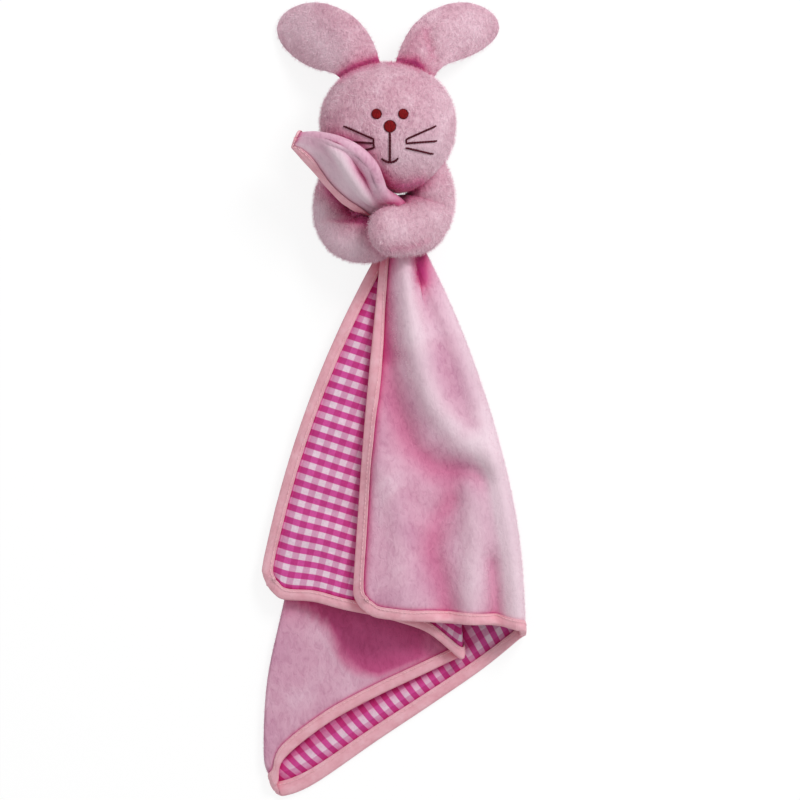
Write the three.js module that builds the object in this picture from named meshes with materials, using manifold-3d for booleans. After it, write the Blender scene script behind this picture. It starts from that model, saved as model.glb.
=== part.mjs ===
// Rabbit comforter: a plush head with two floppy ears, two arms hugging a ring, and a square
// blanket of velour, gingham and binding that is threaded through the ring. The toy lies on its
// back: +Z points out of the face, +Y to the ears, and the origin is where the head rests.
import * as THREE from 'three';
import { mergeVertices } from 'three/addons/utils/BufferGeometryUtils.js';
import Module from 'manifold-3d';

const wasm = await Module();
wasm.setup();

// Driving dimensions in millimetres, angles in degrees

// Materials of the cloth and what lies between touching pieces
const gap = 0.3; // between pieces that touch
const coverWall = 1.5; // plush fabric with its pile
const velourWall = 1.2; // velour side of the blanket
const liningWall = 0.4; // gingham side of the blanket
const tapeWall = 0.5; // folded binding tape
const tapeWidth = 7; // binding seen on either side of the blanket
const floorFlat = 0.5; // how much a stuffed form flattens where it rests

// Head
const headWidth = 82;
const headHeight = 76;
const headDepth = 60;
const headSquareness = 2.2; // 2 is an ellipse, more is boxier

// Face embroidery, from the middle of the face
const threadHeight = 0.8; // how far the satin stitch stands proud
const faceShift = 1.2; // the face sits a little to the right of the head's middle
const eyeRadius = 3;
const eyeSpacing = 16;
const eyeRise = 6.6;
const noseRadius = 3.6;
const noseDrop = 0.8;
const mouthLength = 21.6; // from the nose's middle down to the smile
const mouthWidth = 10;
const mouthSag = 2.4;
const mouthThread = 1.4;
const whiskerThread = 1.1;
const whiskers = [
  { name: 'upper', inner: [9.8, -8.5], outer: [27.6, -0.6] },
  { name: 'middle', inner: [9.8, -11], outer: [28, -9.6] },
  { name: 'lower', inner: [9.4, -13.7], outer: [25.8, -17.4] },
];

// Ears
const earLength = 55; // from the seam to the tip, in plan
const earThickness = 12;
const earWall = 1.2; // ear fabric
const earRoot = 16; // the root's distance from the head's middle line
const ears = [
  { side: 'left', sign: -1, width: 39, rootWidth: 24, rise: 21 },
  { side: 'right', sign: 1, width: 34, rootWidth: 24, rise: 27 },
];

// Arms
const armWidth = 26;
const rightArmWidth = 28.5; // the upper arm in the hug is pressed wider
const armDepth = 21;
const pawDepth = 18;
const ringOpening = 14; // between the chin and the upper paw
const pawOffset = 5.4; // the lower paw lies this much further from the chin

// Blanket
const blanketSide = 300; // the square as cut
const cornerRadius = 16;
const pokeLength = 77; // from the corner on the face back to the gather
const gatherRadius = 16.5; // the hanging part meets the corner on this arc round the ring's centre
const swingAngle = 12; // how far the hanging part swings either way

// How finely each form is drawn
const headFacets = 26;
const headRings = 16;
const armFacets = 12;
const armStations = 12;
const earStations = 8;
const earColumns = 6;

// Sizes that follow from the ones above
const headCentreZ = headDepth / 2 - floorFlat;
const ringCentre = new THREE.Vector2(7.2, -(headHeight / 2 + ringOpening + 7.4));
const upperPawY = -(headHeight / 2 + ringOpening + 11);
const lowerPawY = upperPawY - pawOffset;

const velourFace = gap / 2 + velourWall; // from the middle of the cloth to its velour side
const liningFace = gap / 2 + liningWall;
const tapeOnVelour = velourFace + gap + tapeWall;
const tapeOnLining = liningFace + gap + tapeWall;
const edgeSlack = gap + tapeWall; // the tape folds round this far outside the cloth's edge
const band = tapeWidth - edgeSlack; // tape on the cloth itself

// Heights of the folded blanket's four layers, from the back one up
const levelBack = tapeOnVelour;
const levelMiddle = levelBack + 2 * (tapeOnLining + gap);
const levelFlap = levelMiddle + 2 * (tapeOnVelour + gap);
const levelFront = levelFlap + 2 * tapeOnLining + 1.2;
const stackHeight = levelFront + tapeOnVelour;

const colours = {
  plush: 0xd9a3bd,
  velour: 0xd7a2bf,
  gingham: 0xe58ac0,
  binding: 0xe0939d,
  thread: 0x7d1420,
  filling: 0xf4f1ee,
};

// Small helpers

const lerp = (a, b, t) => a + (b - a) * t;
const smooth = (a, b, x) => {
  const t = Math.min(1, Math.max(0, (x - a) / (b - a)));
  return t * t * (3 - 2 * t);
};

function solidOf(geometry) {
  const plain = geometry.clone();
  plain.deleteAttribute('normal');
  plain.deleteAttribute('uv');
  const merged = mergeVertices(plain, 1e-5);
  return new wasm.Manifold(new wasm.Mesh({
    numProp: 3,
    vertProperties: new Float32Array(merged.attributes.position.array),
    triVerts: new Uint32Array(merged.index.array),
  }));
}

function geometryOf(solid) {
  const mesh = solid.getMesh();
  const geometry = new THREE.BufferGeometry();
  geometry.setAttribute('position', new THREE.BufferAttribute(mesh.vertProperties, 3));
  geometry.setIndex(new THREE.BufferAttribute(mesh.triVerts, 1));
  return geometry;
}

function slab(low, high) {
  const size = new THREE.Vector3().subVectors(high, low);
  const box = new THREE.BoxGeometry(size.x, size.y, size.z);
  box.translate((low.x + high.x) / 2, (low.y + high.y) / 2, (low.z + high.z) / 2);
  return solidOf(box);
}

const largest = (solid) => solid.decompose().reduce((a, b) => (b.volume() > a.volume() ? b : a));

const reach = 10 * blanketSide; // larger than anything here
const below = (z) => slab(new THREE.Vector3(-reach, -reach, -reach), new THREE.Vector3(reach, reach, z));
const above = (z) => slab(new THREE.Vector3(-reach, -reach, z), new THREE.Vector3(reach, reach, reach));

// A closed skin over points and triangles, without its zero-area triangles and facing outwards
function skinOf(points, faces) {
  const geometry = new THREE.BufferGeometry();
  geometry.setAttribute('position', new THREE.Float32BufferAttribute(points.flatMap((p) => p.toArray()), 3));
  geometry.setIndex(faces.flat());
  const merged = mergeVertices(geometry, 1e-4);
  const kept = [];
  const index = merged.index.array;
  const at = merged.attributes.position;
  const [p, q, r] = [new THREE.Vector3(), new THREE.Vector3(), new THREE.Vector3()];
  let volume = 0;
  for (let i = 0; i < index.length; i += 3) {
    const [a, b, c] = [index[i], index[i + 1], index[i + 2]];
    if (a === b || b === c || c === a) continue;
    kept.push(a, b, c);
    p.fromBufferAttribute(at, a);
    volume += p.dot(q.fromBufferAttribute(at, b).cross(r.fromBufferAttribute(at, c)));
  }
  merged.setIndex(volume < 0 ? kept.reverse() : kept);
  return merged;
}

// A solid between two grids of the same size, upper over lower. The cells along the sides are
// divided the way that the tape over them is.
function gridSolid(upper, lower) {
  const rows = upper.length;
  const columns = upper[0].length;
  const points = [...upper.flat(), ...lower.flat()];
  const top = (i, j) => i * columns + j;
  const bottom = (i, j) => (rows + i) * columns + j;
  const faces = [];
  const quad = (a, b, c, d) => faces.push([a, b, c], [a, c, d]);
  const tapeSide = (i, j) => j === 0 || (j === columns - 2 && i < rows - 2);
  for (let i = 0; i < rows - 1; i++) {
    for (let j = 0; j < columns - 1; j++) {
      const upperCell = [top(i, j), top(i + 1, j), top(i + 1, j + 1), top(i, j + 1)];
      const lowerCell = [bottom(i + 1, j), bottom(i, j), bottom(i, j + 1), bottom(i + 1, j + 1)];
      if (tapeSide(i, j)) {
        upperCell.push(upperCell.shift());
        quad(...upperCell);
        quad(...lowerCell);
      } else {
        lowerCell.push(lowerCell.shift());
        quad(...upperCell);
        quad(...lowerCell);
      }
    }
    quad(top(i + 1, 0), top(i, 0), bottom(i, 0), bottom(i + 1, 0));
    quad(top(i, columns - 1), top(i + 1, columns - 1), bottom(i + 1, columns - 1), bottom(i, columns - 1));
  }
  for (let j = 0; j < columns - 1; j++) {
    quad(top(0, j), top(0, j + 1), bottom(0, j + 1), bottom(0, j));
    quad(top(rows - 1, j + 1), top(rows - 1, j), bottom(rows - 1, j), bottom(rows - 1, j + 1));
  }
  return skinOf(points, faces);
}

// Head

function headForm(grow) {
  const form = new THREE.SphereGeometry(1, headFacets, headRings);
  form.rotateX(Math.PI / 2);
  const at = form.attributes.position;
  const p = new THREE.Vector3();
  for (let i = 0; i < at.count; i++) {
    p.fromBufferAttribute(at, i);
    const sum = [p.x, p.y, p.z].reduce((total, v) => total + Math.abs(v) ** headSquareness, 0);
    p.multiplyScalar(sum ** (-1 / headSquareness));
    at.setXYZ(
      i,
      p.x * (headWidth / 2 + grow),
      p.y * (headHeight / 2 + grow),
      p.z * (headDepth / 2 + grow) + headCentreZ,
    );
  }
  return solidOf(form);
}

// Height of the face side of the head, grown a little, over a point of the plan, and a slope
// down to the floor around it
function headTop(x, y, grow) {
  const u = Math.abs(x / (headWidth / 2 + grow)) ** headSquareness;
  const v = Math.abs(y / (headHeight / 2 + grow)) ** headSquareness;
  if (u + v >= 1) return headCentreZ * Math.max(0, 1 - ((u + v) ** (1 / headSquareness) - 1) / 0.25);
  return headCentreZ + (headDepth / 2 + grow) * (1 - u - v) ** (1 / headSquareness);
}

const headOutside = headForm(0);
const headKeepOut = headForm(gap);

function headPieces() {
  const shell = headOutside.subtract(headForm(-coverWall)).subtract(below(0));
  return {
    head_front_cover: [shell.intersect(above(headCentreZ + gap / 2)), 'plush'],
    head_back_cover: [shell.intersect(below(headCentreZ - gap / 2)), 'plush'],
    head_filling: [headForm(-coverWall - gap).subtract(below(coverWall - floorFlat + gap)), 'filling'],
  };
}

// Face: each stitch is a raised patch that follows the head's surface

const faceLayer = headForm(gap + threadHeight).subtract(headKeepOut).intersect(above(headCentreZ));

function stitch(outline) {
  const prism = new THREE.ExtrudeGeometry(outline, {
    depth: headDepth, bevelEnabled: false, curveSegments: 6,
  });
  prism.translate(0, 0, headCentreZ);
  return solidOf(prism);
}

function discStitch(x, y, radius) {
  const outline = new THREE.Shape();
  outline.absarc(x, y, radius, 0, 2 * Math.PI, false);
  return stitch(outline);
}

function lineStitch(from, to, width) {
  const along = new THREE.Vector2().subVectors(to, from).normalize();
  const side = new THREE.Vector2(-along.y, along.x).multiplyScalar(width / 2);
  return stitch(new THREE.Shape([
    from.clone().sub(side), to.clone().sub(side), to.clone().add(side), from.clone().add(side),
  ]));
}

// The mouth: a line down from the nose to a curve between its two corners
function mouthStitch() {
  const bottom = -noseDrop - mouthLength;
  const radius = (mouthWidth ** 2 / 4 + mouthSag ** 2) / (2 * mouthSag);
  const spread = Math.asin(mouthWidth / 2 / radius);
  const middle = -Math.PI / 2;
  const smile = new THREE.Shape();
  smile.absarc(faceShift, bottom + radius, radius + mouthThread / 2, middle - spread, middle + spread, false);
  smile.absarc(faceShift, bottom + radius, radius - mouthThread / 2, middle + spread, middle - spread, true);
  const top = new THREE.Vector2(faceShift, -noseDrop - noseRadius - gap);
  return stitch(smile).add(lineStitch(top, new THREE.Vector2(faceShift, bottom), mouthThread));
}

function facePieces() {
  const pieces = {
    eye_left: [discStitch(faceShift - eyeSpacing / 2, eyeRise, eyeRadius), 'thread'],
    eye_right: [discStitch(faceShift + eyeSpacing / 2, eyeRise, eyeRadius), 'thread'],
    nose: [discStitch(faceShift, -noseDrop, noseRadius), 'thread'],
    mouth: [mouthStitch(), 'thread'],
  };
  for (const [side, sign] of [['left', -1], ['right', 1]]) {
    for (const { name, inner, outer } of whiskers) {
      const [from, to] = [inner, outer].map(([x, y]) => new THREE.Vector2(faceShift + sign * x, y));
      pieces[`whisker_${side}_${name}`] = [lineStitch(from, to, whiskerThread), 'thread'];
    }
  }
  for (const piece of Object.values(pieces)) piece[0] = piece[0].intersect(faceLayer);
  return pieces;
}

// Ears: a front and a back panel sewn together at the rim, lightly filled

// The ear's middle line runs up from the seam, bends outwards and droops to the floor
function earLine({ sign, rise }) {
  const half = earThickness / 2;
  const rootY = headHeight / 2 * (1 - (2 * earRoot / headWidth) ** headSquareness) ** (1 / headSquareness);
  const root = new THREE.Vector3(sign * earRoot, rootY - 3, headCentreZ);
  const bend = new THREE.Vector3(sign * (earRoot + earLength * 0.1), rootY + rise, headCentreZ * 0.75);
  const tip = new THREE.Vector3(sign * (earRoot + earLength * 0.92), rootY + earLength * 0.42, half * 0.35);
  return new THREE.QuadraticBezierCurve3(root, bend, tip);
}

// Half width at a share t of the ear's length: narrow root, full middle, round tip that ends in
// a short straight edge
function earHalfWidth({ width, rootWidth }, t) {
  const round = Math.sqrt(1 - 0.95 * (Math.max(0, t - 0.66) / 0.34) ** 2);
  return lerp(rootWidth / 2, width / 2, smooth(0, 0.6, t)) * round;
}

// Half thickness at t along and f across, from -1 to 1
function earHalfThickness(t, f) {
  const rim = earWall + gap / 2;
  const fill = Math.sin(Math.PI * (0.18 + 0.72 * t)) * (1 - f * f);
  return rim + (earThickness / 2 - rim) * fill;
}

function earGrid(ear, shrink, heightAt) {
  const line = earLine(ear);
  const rows = [];
  for (let i = 0; i <= earStations; i++) {
    const t = Math.sin((i / earStations) * Math.PI / 2) * (1 - shrink) + shrink / 3;
    const middle = line.getPoint(t);
    const along = line.getTangent(t);
    const side = new THREE.Vector3(-along.y, along.x, 0).normalize();
    const half = earHalfWidth(ear, t) * (1 - shrink);
    const row = [];
    for (let j = 0; j <= earColumns; j++) {
      const f = 2 * j / earColumns - 1;
      const p = middle.clone().addScaledVector(side, half * f);
      p.z += heightAt(t, f * (1 - shrink));
      row.push(p);
    }
    rows.push(row);
  }
  return rows;
}

function earPieces(ear) {
  const panel = (sign) => {
    const outer = earGrid(ear, 0, (t, f) => sign * earHalfThickness(t, f));
    const inner = earGrid(ear, 0, (t, f) => sign * (earHalfThickness(t, f) - earWall));
    return solidOf(sign > 0 ? gridSolid(outer, inner) : gridSolid(inner, outer));
  };
  const fillingHalf = (t, f) => Math.max(0.2, earHalfThickness(t, f) - earWall - 3 * gap);
  const filling = solidOf(gridSolid(
    earGrid(ear, 0.16, (t, f) => fillingHalf(t, f)),
    earGrid(ear, 0.16, (t, f) => -fillingHalf(t, f)),
  ));
  const trim = (solid) => solid.subtract(headKeepOut).subtract(below(0));
  return {
    [`ear_${ear.side}_front`]: [trim(panel(1)), 'plush'],
    [`ear_${ear.side}_back`]: [trim(panel(-1)), 'plush'],
    [`ear_${ear.side}_filling`]: [trim(filling), 'filling'],
  };
}

// Arms: tapered tubes round the ring, the right paw over the left one, both over the blanket

const lowerPawZ = stackHeight + gap + pawDepth / 2;
const upperPawZ = lowerPawZ + pawDepth - 1;
const armRestZ = armDepth / 2 - floorFlat;

const leftArm = {
  side: 'left',
  width: armWidth,
  line: [
    [-headWidth * 0.26, -headHeight * 0.24, headCentreZ - 5],
    [-headWidth / 2 + 8, -headHeight / 2 + 1, armRestZ + 3],
    [-headWidth / 2 + 7.5, lowerPawY + 16, armRestZ],
    [-headWidth / 2 + 13.5, lowerPawY + 6, armRestZ + 6],
    [-headWidth / 2 + 24, lowerPawY + 0.5, lowerPawZ - 2],
    [-headWidth / 2 + 36, lowerPawY, lowerPawZ],
    [ringCentre.x - 3, lowerPawY, lowerPawZ],
  ],
};
const rightArm = {
  side: 'right',
  width: rightArmWidth,
  line: [
    [headWidth * 0.24, -headHeight * 0.24, headCentreZ - 5],
    [headWidth / 2 - 14.4, -headHeight / 2 + 2, armRestZ + 3],
    [headWidth / 2 - 15, upperPawY + 14.5, armRestZ],
    [headWidth / 2 - 21, upperPawY + 4.2, lowerPawZ - 3],
    [headWidth / 2 - 31, upperPawY, upperPawZ - 6],
    [ringCentre.x - 6, upperPawY, upperPawZ - 1],
    [ringCentre.x - 19, upperPawY - 1, upperPawZ - 1],
  ],
};

function armForm(arm, grow) {
  const curve = new THREE.CatmullRomCurve3(
    arm.line.map((p) => new THREE.Vector3(...p)), false, 'centripetal',
  );
  const length = curve.getLength();
  const up = new THREE.Vector3(0, 0, 1);
  const points = [];
  const faces = [];
  const tipRound = arm.width * 0.46;
  const bodyStations = armStations - 4;
  for (let i = 0; i <= armStations; i++) {
    const bodyEnd = 1 - tipRound / length;
    const s = i <= bodyStations
      ? bodyEnd * i / bodyStations
      : lerp(bodyEnd, 1, Math.sin((i - bodyStations) / 4 * Math.PI / 2));
    const intoTip = Math.max(0, (s - bodyEnd) / (1 - bodyEnd));
    const round = Math.sqrt(1 - intoTip ** 2);
    const middle = curve.getPointAt(s);
    const along = curve.getTangentAt(s);
    middle.addScaledVector(along, grow * intoTip);
    const side = new THREE.Vector3().crossVectors(along, up).normalize();
    const out = new THREE.Vector3().crossVectors(side, along);
    const swell = 1 - 0.12 * Math.cos(Math.PI * Math.min(1, s * 2.2)) - 0.1 * smooth(0.6, 1, s);
    const halfWidth = (arm.width / 2 * swell + grow) * round;
    const halfDepth = (lerp(armDepth, pawDepth, smooth(0.4, 0.8, s)) / 2 + grow) * round;
    for (let j = 0; j < armFacets; j++) {
      const a = 2 * Math.PI * j / armFacets;
      points.push(middle.clone()
        .addScaledVector(side, halfWidth * Math.cos(a))
        .addScaledVector(out, halfDepth * Math.sin(a)));
    }
  }
  const ring = (i, j) => i * armFacets + (j % armFacets);
  for (let i = 0; i < armStations; i++) {
    for (let j = 0; j < armFacets; j++) {
      const [a, b, c, d] = [ring(i, j), ring(i + 1, j), ring(i + 1, j + 1), ring(i, j + 1)];
      faces.push([a, b, c], [a, c, d]);
    }
  }
  for (let j = 1; j < armFacets - 1; j++) faces.push([ring(0, 0), ring(0, j), ring(0, j + 1)]);
  return solidOf(skinOf(points, faces));
}

// Blanket: one square sheet, folded in plan into four layers that fan out from the gather.
// Edges of the layers, in the order that the cloth runs from its open front edge to its other
// open edge: each is a curve from the gather to a point of the hem.

const diagonal = blanketSide * Math.SQRT2;
const flat = {
  front: new THREE.Vector2(diagonal / 2, pokeLength - diagonal / 2),
  tail: new THREE.Vector2(0, pokeLength - diagonal),
  back: new THREE.Vector2(-diagonal / 2, pokeLength - diagonal / 2),
};
const layout = [
  { hem: flat.front, reach: 0.932, angle: -6.8, start: -37, bow: -3.5, bowAt: 0.5 },
  { hem: flat.front.clone().lerp(flat.tail, 0.375), reach: 1.028, angle: 17.5, start: 46, bow: 25, bowAt: 0.5 },
  { hem: flat.tail.clone().lerp(flat.back, 0.083), reach: 1.017, angle: -14, start: -35, bow: -16, bowAt: 0.7 },
  { hem: flat.back.clone().lerp(flat.tail, 0.43), reach: 1.019, angle: 8.3, start: 43, bow: 6, bowAt: 0.5 },
  { hem: flat.back, reach: 0.934, angle: -21.1, start: -39, bow: -19, bowAt: 0.5 },
];

const polar = (radius, degrees) => new THREE.Vector2(
  ringCentre.x + radius * Math.sin(THREE.MathUtils.degToRad(degrees)),
  ringCentre.y - radius * Math.cos(THREE.MathUtils.degToRad(degrees)),
);

const edges = layout.map(({ hem, reach: share, angle, start, bow, bowAt }) => {
  const from = polar(gatherRadius + gap, start);
  const to = polar(hem.length() * share, angle);
  const along = new THREE.Vector2().subVectors(to, from).normalize();
  const bend = from.clone().lerp(to, bowAt).add(new THREE.Vector2(-along.y, along.x).multiplyScalar(bow));
  return new THREE.QuadraticBezierCurve(from, bend, to);
});

// Folds raised in the front layer, each a short curve with a height and a half width
const creases = [
  { path: [[16, -82], [14, -118], [24, -150], [36, -178], [66, -192]], height: 7, halfWidth: 9 },
  { path: [[28, -84], [44, -120], [62, -170]], height: 3.5, halfWidth: 9 },
  { path: [[-4, -190], [10, -240], [18, -290]], height: 3.5, halfWidth: 11 },
  { path: [[64, -230], [66, -268], [62, -300]], height: 4.5, halfWidth: 12 },
];

function creaseLift(x, y) {
  const p = new THREE.Vector3(x, y, 0);
  let lift = 0;
  for (const { path, height, halfWidth } of creases) {
    let nearest = Infinity;
    for (let i = 0; i < path.length - 1; i++) {
      const segment = new THREE.Line3(
        new THREE.Vector3(...path[i], 0), new THREE.Vector3(...path[i + 1], 0),
      );
      nearest = Math.min(nearest, segment.closestPointToPoint(p, true, new THREE.Vector3()).distanceTo(p));
    }
    lift += height * Math.exp(-((nearest / halfWidth) ** 2));
  }
  return lift;
}

// Columns of the sheet across its four layers. Each names the edge it leaves, the edge it goes
// to, the share of the way and its height, or the turn of a fold that it lies on.
function sheetColumns(counts) {
  const columns = [];
  const levels = [levelFront, levelBack, levelMiddle, levelFlap];
  for (let k = 0; k < 4; k++) {
    const openStart = k === 0;
    const openEnd = k === 3;
    if (openStart) columns.push({ k, edge: 0 }, { k, edge: band }, { k, edge: cornerRadius });
    for (let i = 1; i <= counts[k]; i++) columns.push({ k, share: i / (counts[k] + 1), level: levels[k] });
    if (openEnd) columns.push({ k, edge: -cornerRadius }, { k, edge: -band }, { k, edge: -1e-9 });
    if (k < 3) {
      for (const turn of [0, 1, 2, 3]) columns.push({ k, fold: k + 1, turn: turn / 3 * Math.PI });
    }
  }
  return columns.map((c) => ({ level: levels[c.k], next: levels[c.k + 1], ...c }));
}
const hangingColumns = sheetColumns([5, 4, 4, 5]);

// Where a column crosses a row, given the row's five edge points and the folds' outward directions
function placeColumn(column, at, outward) {
  const { k, edge, share, fold, turn, level, next } = column;
  const inset = (e) => (e === 0 || e === 4 ? 0 : Math.abs(levelOf(e) - levelOf(e - 1)) / 2);
  const start = at[k].clone().addScaledVector(outward[k], -inset(k));
  const end = at[k + 1].clone().addScaledVector(outward[k + 1], -inset(k + 1));
  if (fold !== undefined) {
    const radius = inset(fold);
    const p = at[fold].clone().addScaledVector(outward[fold], -radius + radius * Math.sin(turn));
    return [p, lerp(level, next, (1 - Math.cos(turn)) / 2)];
  }
  if (edge !== undefined) {
    const inward = nearEdge(Math.abs(edge), start, end);
    return [start.clone().lerp(end, edge >= 0 ? inward : 1 - inward), level];
  }
  const first = k === 0 ? nearEdge(cornerRadius, start, end) : 0;
  const last = k === 3 ? 1 - nearEdge(cornerRadius, start, end) : 1;
  return [start.clone().lerp(end, lerp(first, last, share)), level];
}

// A distance from a layer's open edge as a share of its width, up to its middle
function nearEdge(distance, start, end) {
  return Math.min(0.5, distance / start.distanceTo(end));
}

function levelOf(k) {
  return [levelFront, levelBack, levelMiddle, levelFlap][k];
}

// Rows of the hanging part, as shares of each edge's length: the last ones follow the hem
function hangingRows() {
  const inner = 7;
  const rows = [];
  const slant = [1, 1.02, 1.3, 1.04, 1];
  const lengths = edges.map((edge) => edge.getLength());
  for (let i = 0; i <= inner; i++) {
    rows.push(lengths.map((length, k) => (i / inner) * (1 - cornerRadius * slant[k] / length)));
  }
  rows.push(lengths.map((length, k) => 1 - band * slant[k] / length));
  rows.push(lengths.map(() => 1));
  return rows;
}

// The cloth's middle surface below the gather
function hangingSurface() {
  const grid = hangingRows().map((shares) => {
    const at = edges.map((edge, k) => edge.getPointAt(shares[k]));
    const outward = edges.map((edge, k) => {
      const along = edge.getTangentAt(shares[k]);
      const side = k % 2 ? 1 : -1;
      return new THREE.Vector2(-along.y * side, along.x * side);
    });
    return hangingColumns.map((column) => {
      const [p, level] = placeColumn(column, at, outward);
      return new THREE.Vector3(p.x, p.y, level);
    });
  });
  grid[0] = grid[0].map((p) => ontoArc(p, gatherRadius + gap));
  const last = grid.length - 1;
  const end = hangingColumns.length - 1;

  // the tail corner pokes past the fold, in the back layer
  const tail = polar(flat.tail.length() * 1.027, -11.6);
  const back = hangingColumns.map((c, j) => ({ c, j })).filter(({ c }) => c.k === 1 && c.share !== undefined);
  const foldHem = grid[last][back[back.length - 1].j + 1];
  for (const { c, j } of back) {
    const hem = grid[last][back[0].j - 1].clone();
    const onHem = new THREE.Vector3(tail.x, tail.y, levelBack);
    const roundEnd = onHem.clone().lerp(foldHem, Math.min(0.9, cornerRadius / onHem.distanceTo(foldHem)));
    const roundStart = onHem.clone().lerp(hem, cornerRadius / onHem.distanceTo(hem));
    const roundMiddle = onHem.clone().lerp(roundStart.clone().lerp(roundEnd, 0.5), 0.59);
    const stops = [hem, hem.clone().lerp(roundStart, 0.5), roundStart, roundMiddle, roundEnd];
    const target = stops[Math.round(c.share * (back.length + 1))];
    const shift = new THREE.Vector3().subVectors(target, grid[last][j]);
    grid[last][j].add(shift);
    grid[last - 1][j].addScaledVector(shift, 0.96);
    grid[last - 2][j].addScaledVector(shift, 0.8);
    grid[last - 3][j].addScaledVector(shift, 0.3);
  }

  // round corners where an open edge meets the hem
  for (const [j, step] of [[0, 1], [end, -1]]) {
    const corner = grid[last][j].clone();
    const up = new THREE.Vector3().subVectors(grid[last - 2][j], corner).normalize();
    const across = new THREE.Vector3().subVectors(grid[last][j + 2 * step], corner).normalize();
    const centre = corner.clone().addScaledVector(up, cornerRadius).addScaledVector(across, cornerRadius);
    const place = (radius, degrees) => {
      const a = THREE.MathUtils.degToRad(degrees);
      return centre.clone().addScaledVector(across, -radius * Math.cos(a)).addScaledVector(up, -radius * Math.sin(a));
    };
    grid[last - 1][j] = place(cornerRadius, 22.5);
    grid[last][j] = place(cornerRadius, 45);
    grid[last][j + step] = place(cornerRadius, 67.5);
    grid[last - 1][j + step] = place(cornerRadius - band, 45);
  }

  // the front layer lifts in folds, and the flap under it droops to the floor past the stack
  const frontEdge = edges[0];
  const foldEdge = edges[2];
  for (const row of grid) {
    row.forEach((p, j) => {
      const { k, fold, turn } = hangingColumns[j];
      const lifted = k === 0 && fold === undefined;
      if (lifted) p.z += creaseLift(p.x, p.y) * smooth(0, 10, edgeDistance(p, frontEdge));
      else if (fold === 1) p.z += creaseLift(p.x, p.y) * (1 + Math.cos(turn)) / 2;
      if (k === 3) {
        const past = signedPast(p, foldEdge);
        p.z = lerp(p.z, levelBack, smooth(4, 34, past));
      }
    });
  }
  return grid;
}

// The point moved in plan onto an arc round the ring's centre
function ontoArc(p, radius) {
  const away = new THREE.Vector2(p.x, p.y).sub(ringCentre).setLength(radius).add(ringCentre);
  return new THREE.Vector3(away.x, away.y, p.z);
}

function edgeDistance(p, edge) {
  const q = new THREE.Vector2(p.x, p.y);
  return Math.min(...edge.getSpacedPoints(24).map((e) => e.distanceTo(q)));
}

// How far a point lies to the left of an edge that runs down the blanket
function signedPast(p, edge) {
  const samples = edge.getSpacedPoints(24);
  const q = new THREE.Vector2(p.x, p.y);
  let best = samples[0];
  for (const e of samples) if (Math.abs(e.y - q.y) < Math.abs(best.y - q.y)) best = e;
  return best.x - q.x;
}

// The corner of the cloth in the ring and on the face: a leaf of two layers, open along its left
// edge and folded along its right one. Each row gives both sides of the lower layer, in plan
// from the ring's centre and in height from the floor.
const pokeRows = [
  { edge: [-8.2, -10.2, 4], fold: [9, -8.8, 4] },
  { edge: [-13.4, -3.6, 5], fold: [12.2, -2.6, 6] },
  { edge: [-18.6, 2, 9], fold: [6, 6.5, 14] },
  { edge: [-22.5, 5.5, 15], fold: [1, 12.5, 25] },
  { edge: [-26.5, 9, 22], fold: [-3.2, 17.5, 35] },
  { edge: [-31, 12.3, 27.5], fold: [-6, 23, 44] },
  { edge: [-35, 15.5, 30], fold: [-8.8, 29, 52] },
  { edge: [-43.5, 23.5, 34], fold: [-14, 38, 58] },
  { edge: [-50.5, 31.5, 38], fold: [-24, 48, 59.5] },
  { edge: [-56.5, 38.5, 41], fold: [-37, 56, 55] },
  { edge: [-61.5, 44, 42], fold: [-50, 58, 48] },
  { edge: [-63.5, 46.5, 42], fold: [-61, 56.5, 44] },
];
const leafSpread = 5.6; // between the leaf's two layers
const leafClearance = 3; // between the lower layer's middle and the head
const leafColumns = 4; // across each layer, besides its edge and its fold

// Point of the lower layer at a share of the way from the edge side to the fold side
function leafPoint({ edge, fold }, share) {
  const p = new THREE.Vector3(...edge).lerp(new THREE.Vector3(...fold), share);
  p.x += ringCentre.x;
  p.y += ringCentre.y;
  const over = headTop(p.x, p.y, leafClearance) - p.z;
  p.z += (over + Math.hypot(over, 2)) / 2;
  return p;
}

// Shares of the leaf's width at its columns, the first three of which follow the edge
function leafShares(width) {
  const radius = leafSpread / 2;
  const straight = 1 - radius / width;
  const tape = Math.min(band / width, 0.3 * straight);
  const round = Math.max(1.6 * tape, Math.min(cornerRadius / width, 0.5 * straight));
  const shares = [0, tape, round];
  for (let i = 1; i < leafColumns; i++) shares.push(lerp(round, straight, i / leafColumns));
  return [shares, straight];
}

function pokeSurface() {
  const start = [layout[0].start, layout[1].start].map((angle) => {
    const p = polar(gatherRadius - gap, angle).sub(ringCentre);
    return [p.x, p.y, 4];
  });
  const rows = [{ edge: start[0], fold: start[1] }, ...pokeRows];
  return rows.map((row, i) => {
    const before = rows[Math.max(0, i - 1)];
    const after = rows[Math.min(rows.length - 1, i + 1)];
    const width = leafPoint(row, 0).distanceTo(leafPoint(row, 1));
    const [shares, straight] = leafShares(width);
    const frame = (share) => {
      const p = leafPoint(row, share);
      const along = leafPoint(after, share).sub(leafPoint(before, share));
      const across = leafPoint(row, Math.min(1, share + 0.1)).sub(leafPoint(row, Math.max(0, share - 0.1)));
      const up = across.clone().cross(along).normalize();
      return { p, up, across: across.normalize() };
    };
    const layer = (list, rise) => list.map((share) => {
      const { p, up } = frame(share);
      return p.addScaledVector(up, rise);
    });
    const turned = [0, 1, 2, 3].map((step) => {
      const { p, up, across } = frame(straight);
      const a = step / 3 * Math.PI;
      return p.addScaledVector(across, leafSpread / 2 * Math.sin(a))
        .addScaledVector(up, leafSpread / 2 * (1 + Math.cos(a)));
    });
    const points = [...layer(shares, leafSpread), ...turned, ...layer([...shares].reverse(), 0)];
    return i === 0 ? points.map((p) => ontoArc(p, gatherRadius - gap)) : points;
  });
}

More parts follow.
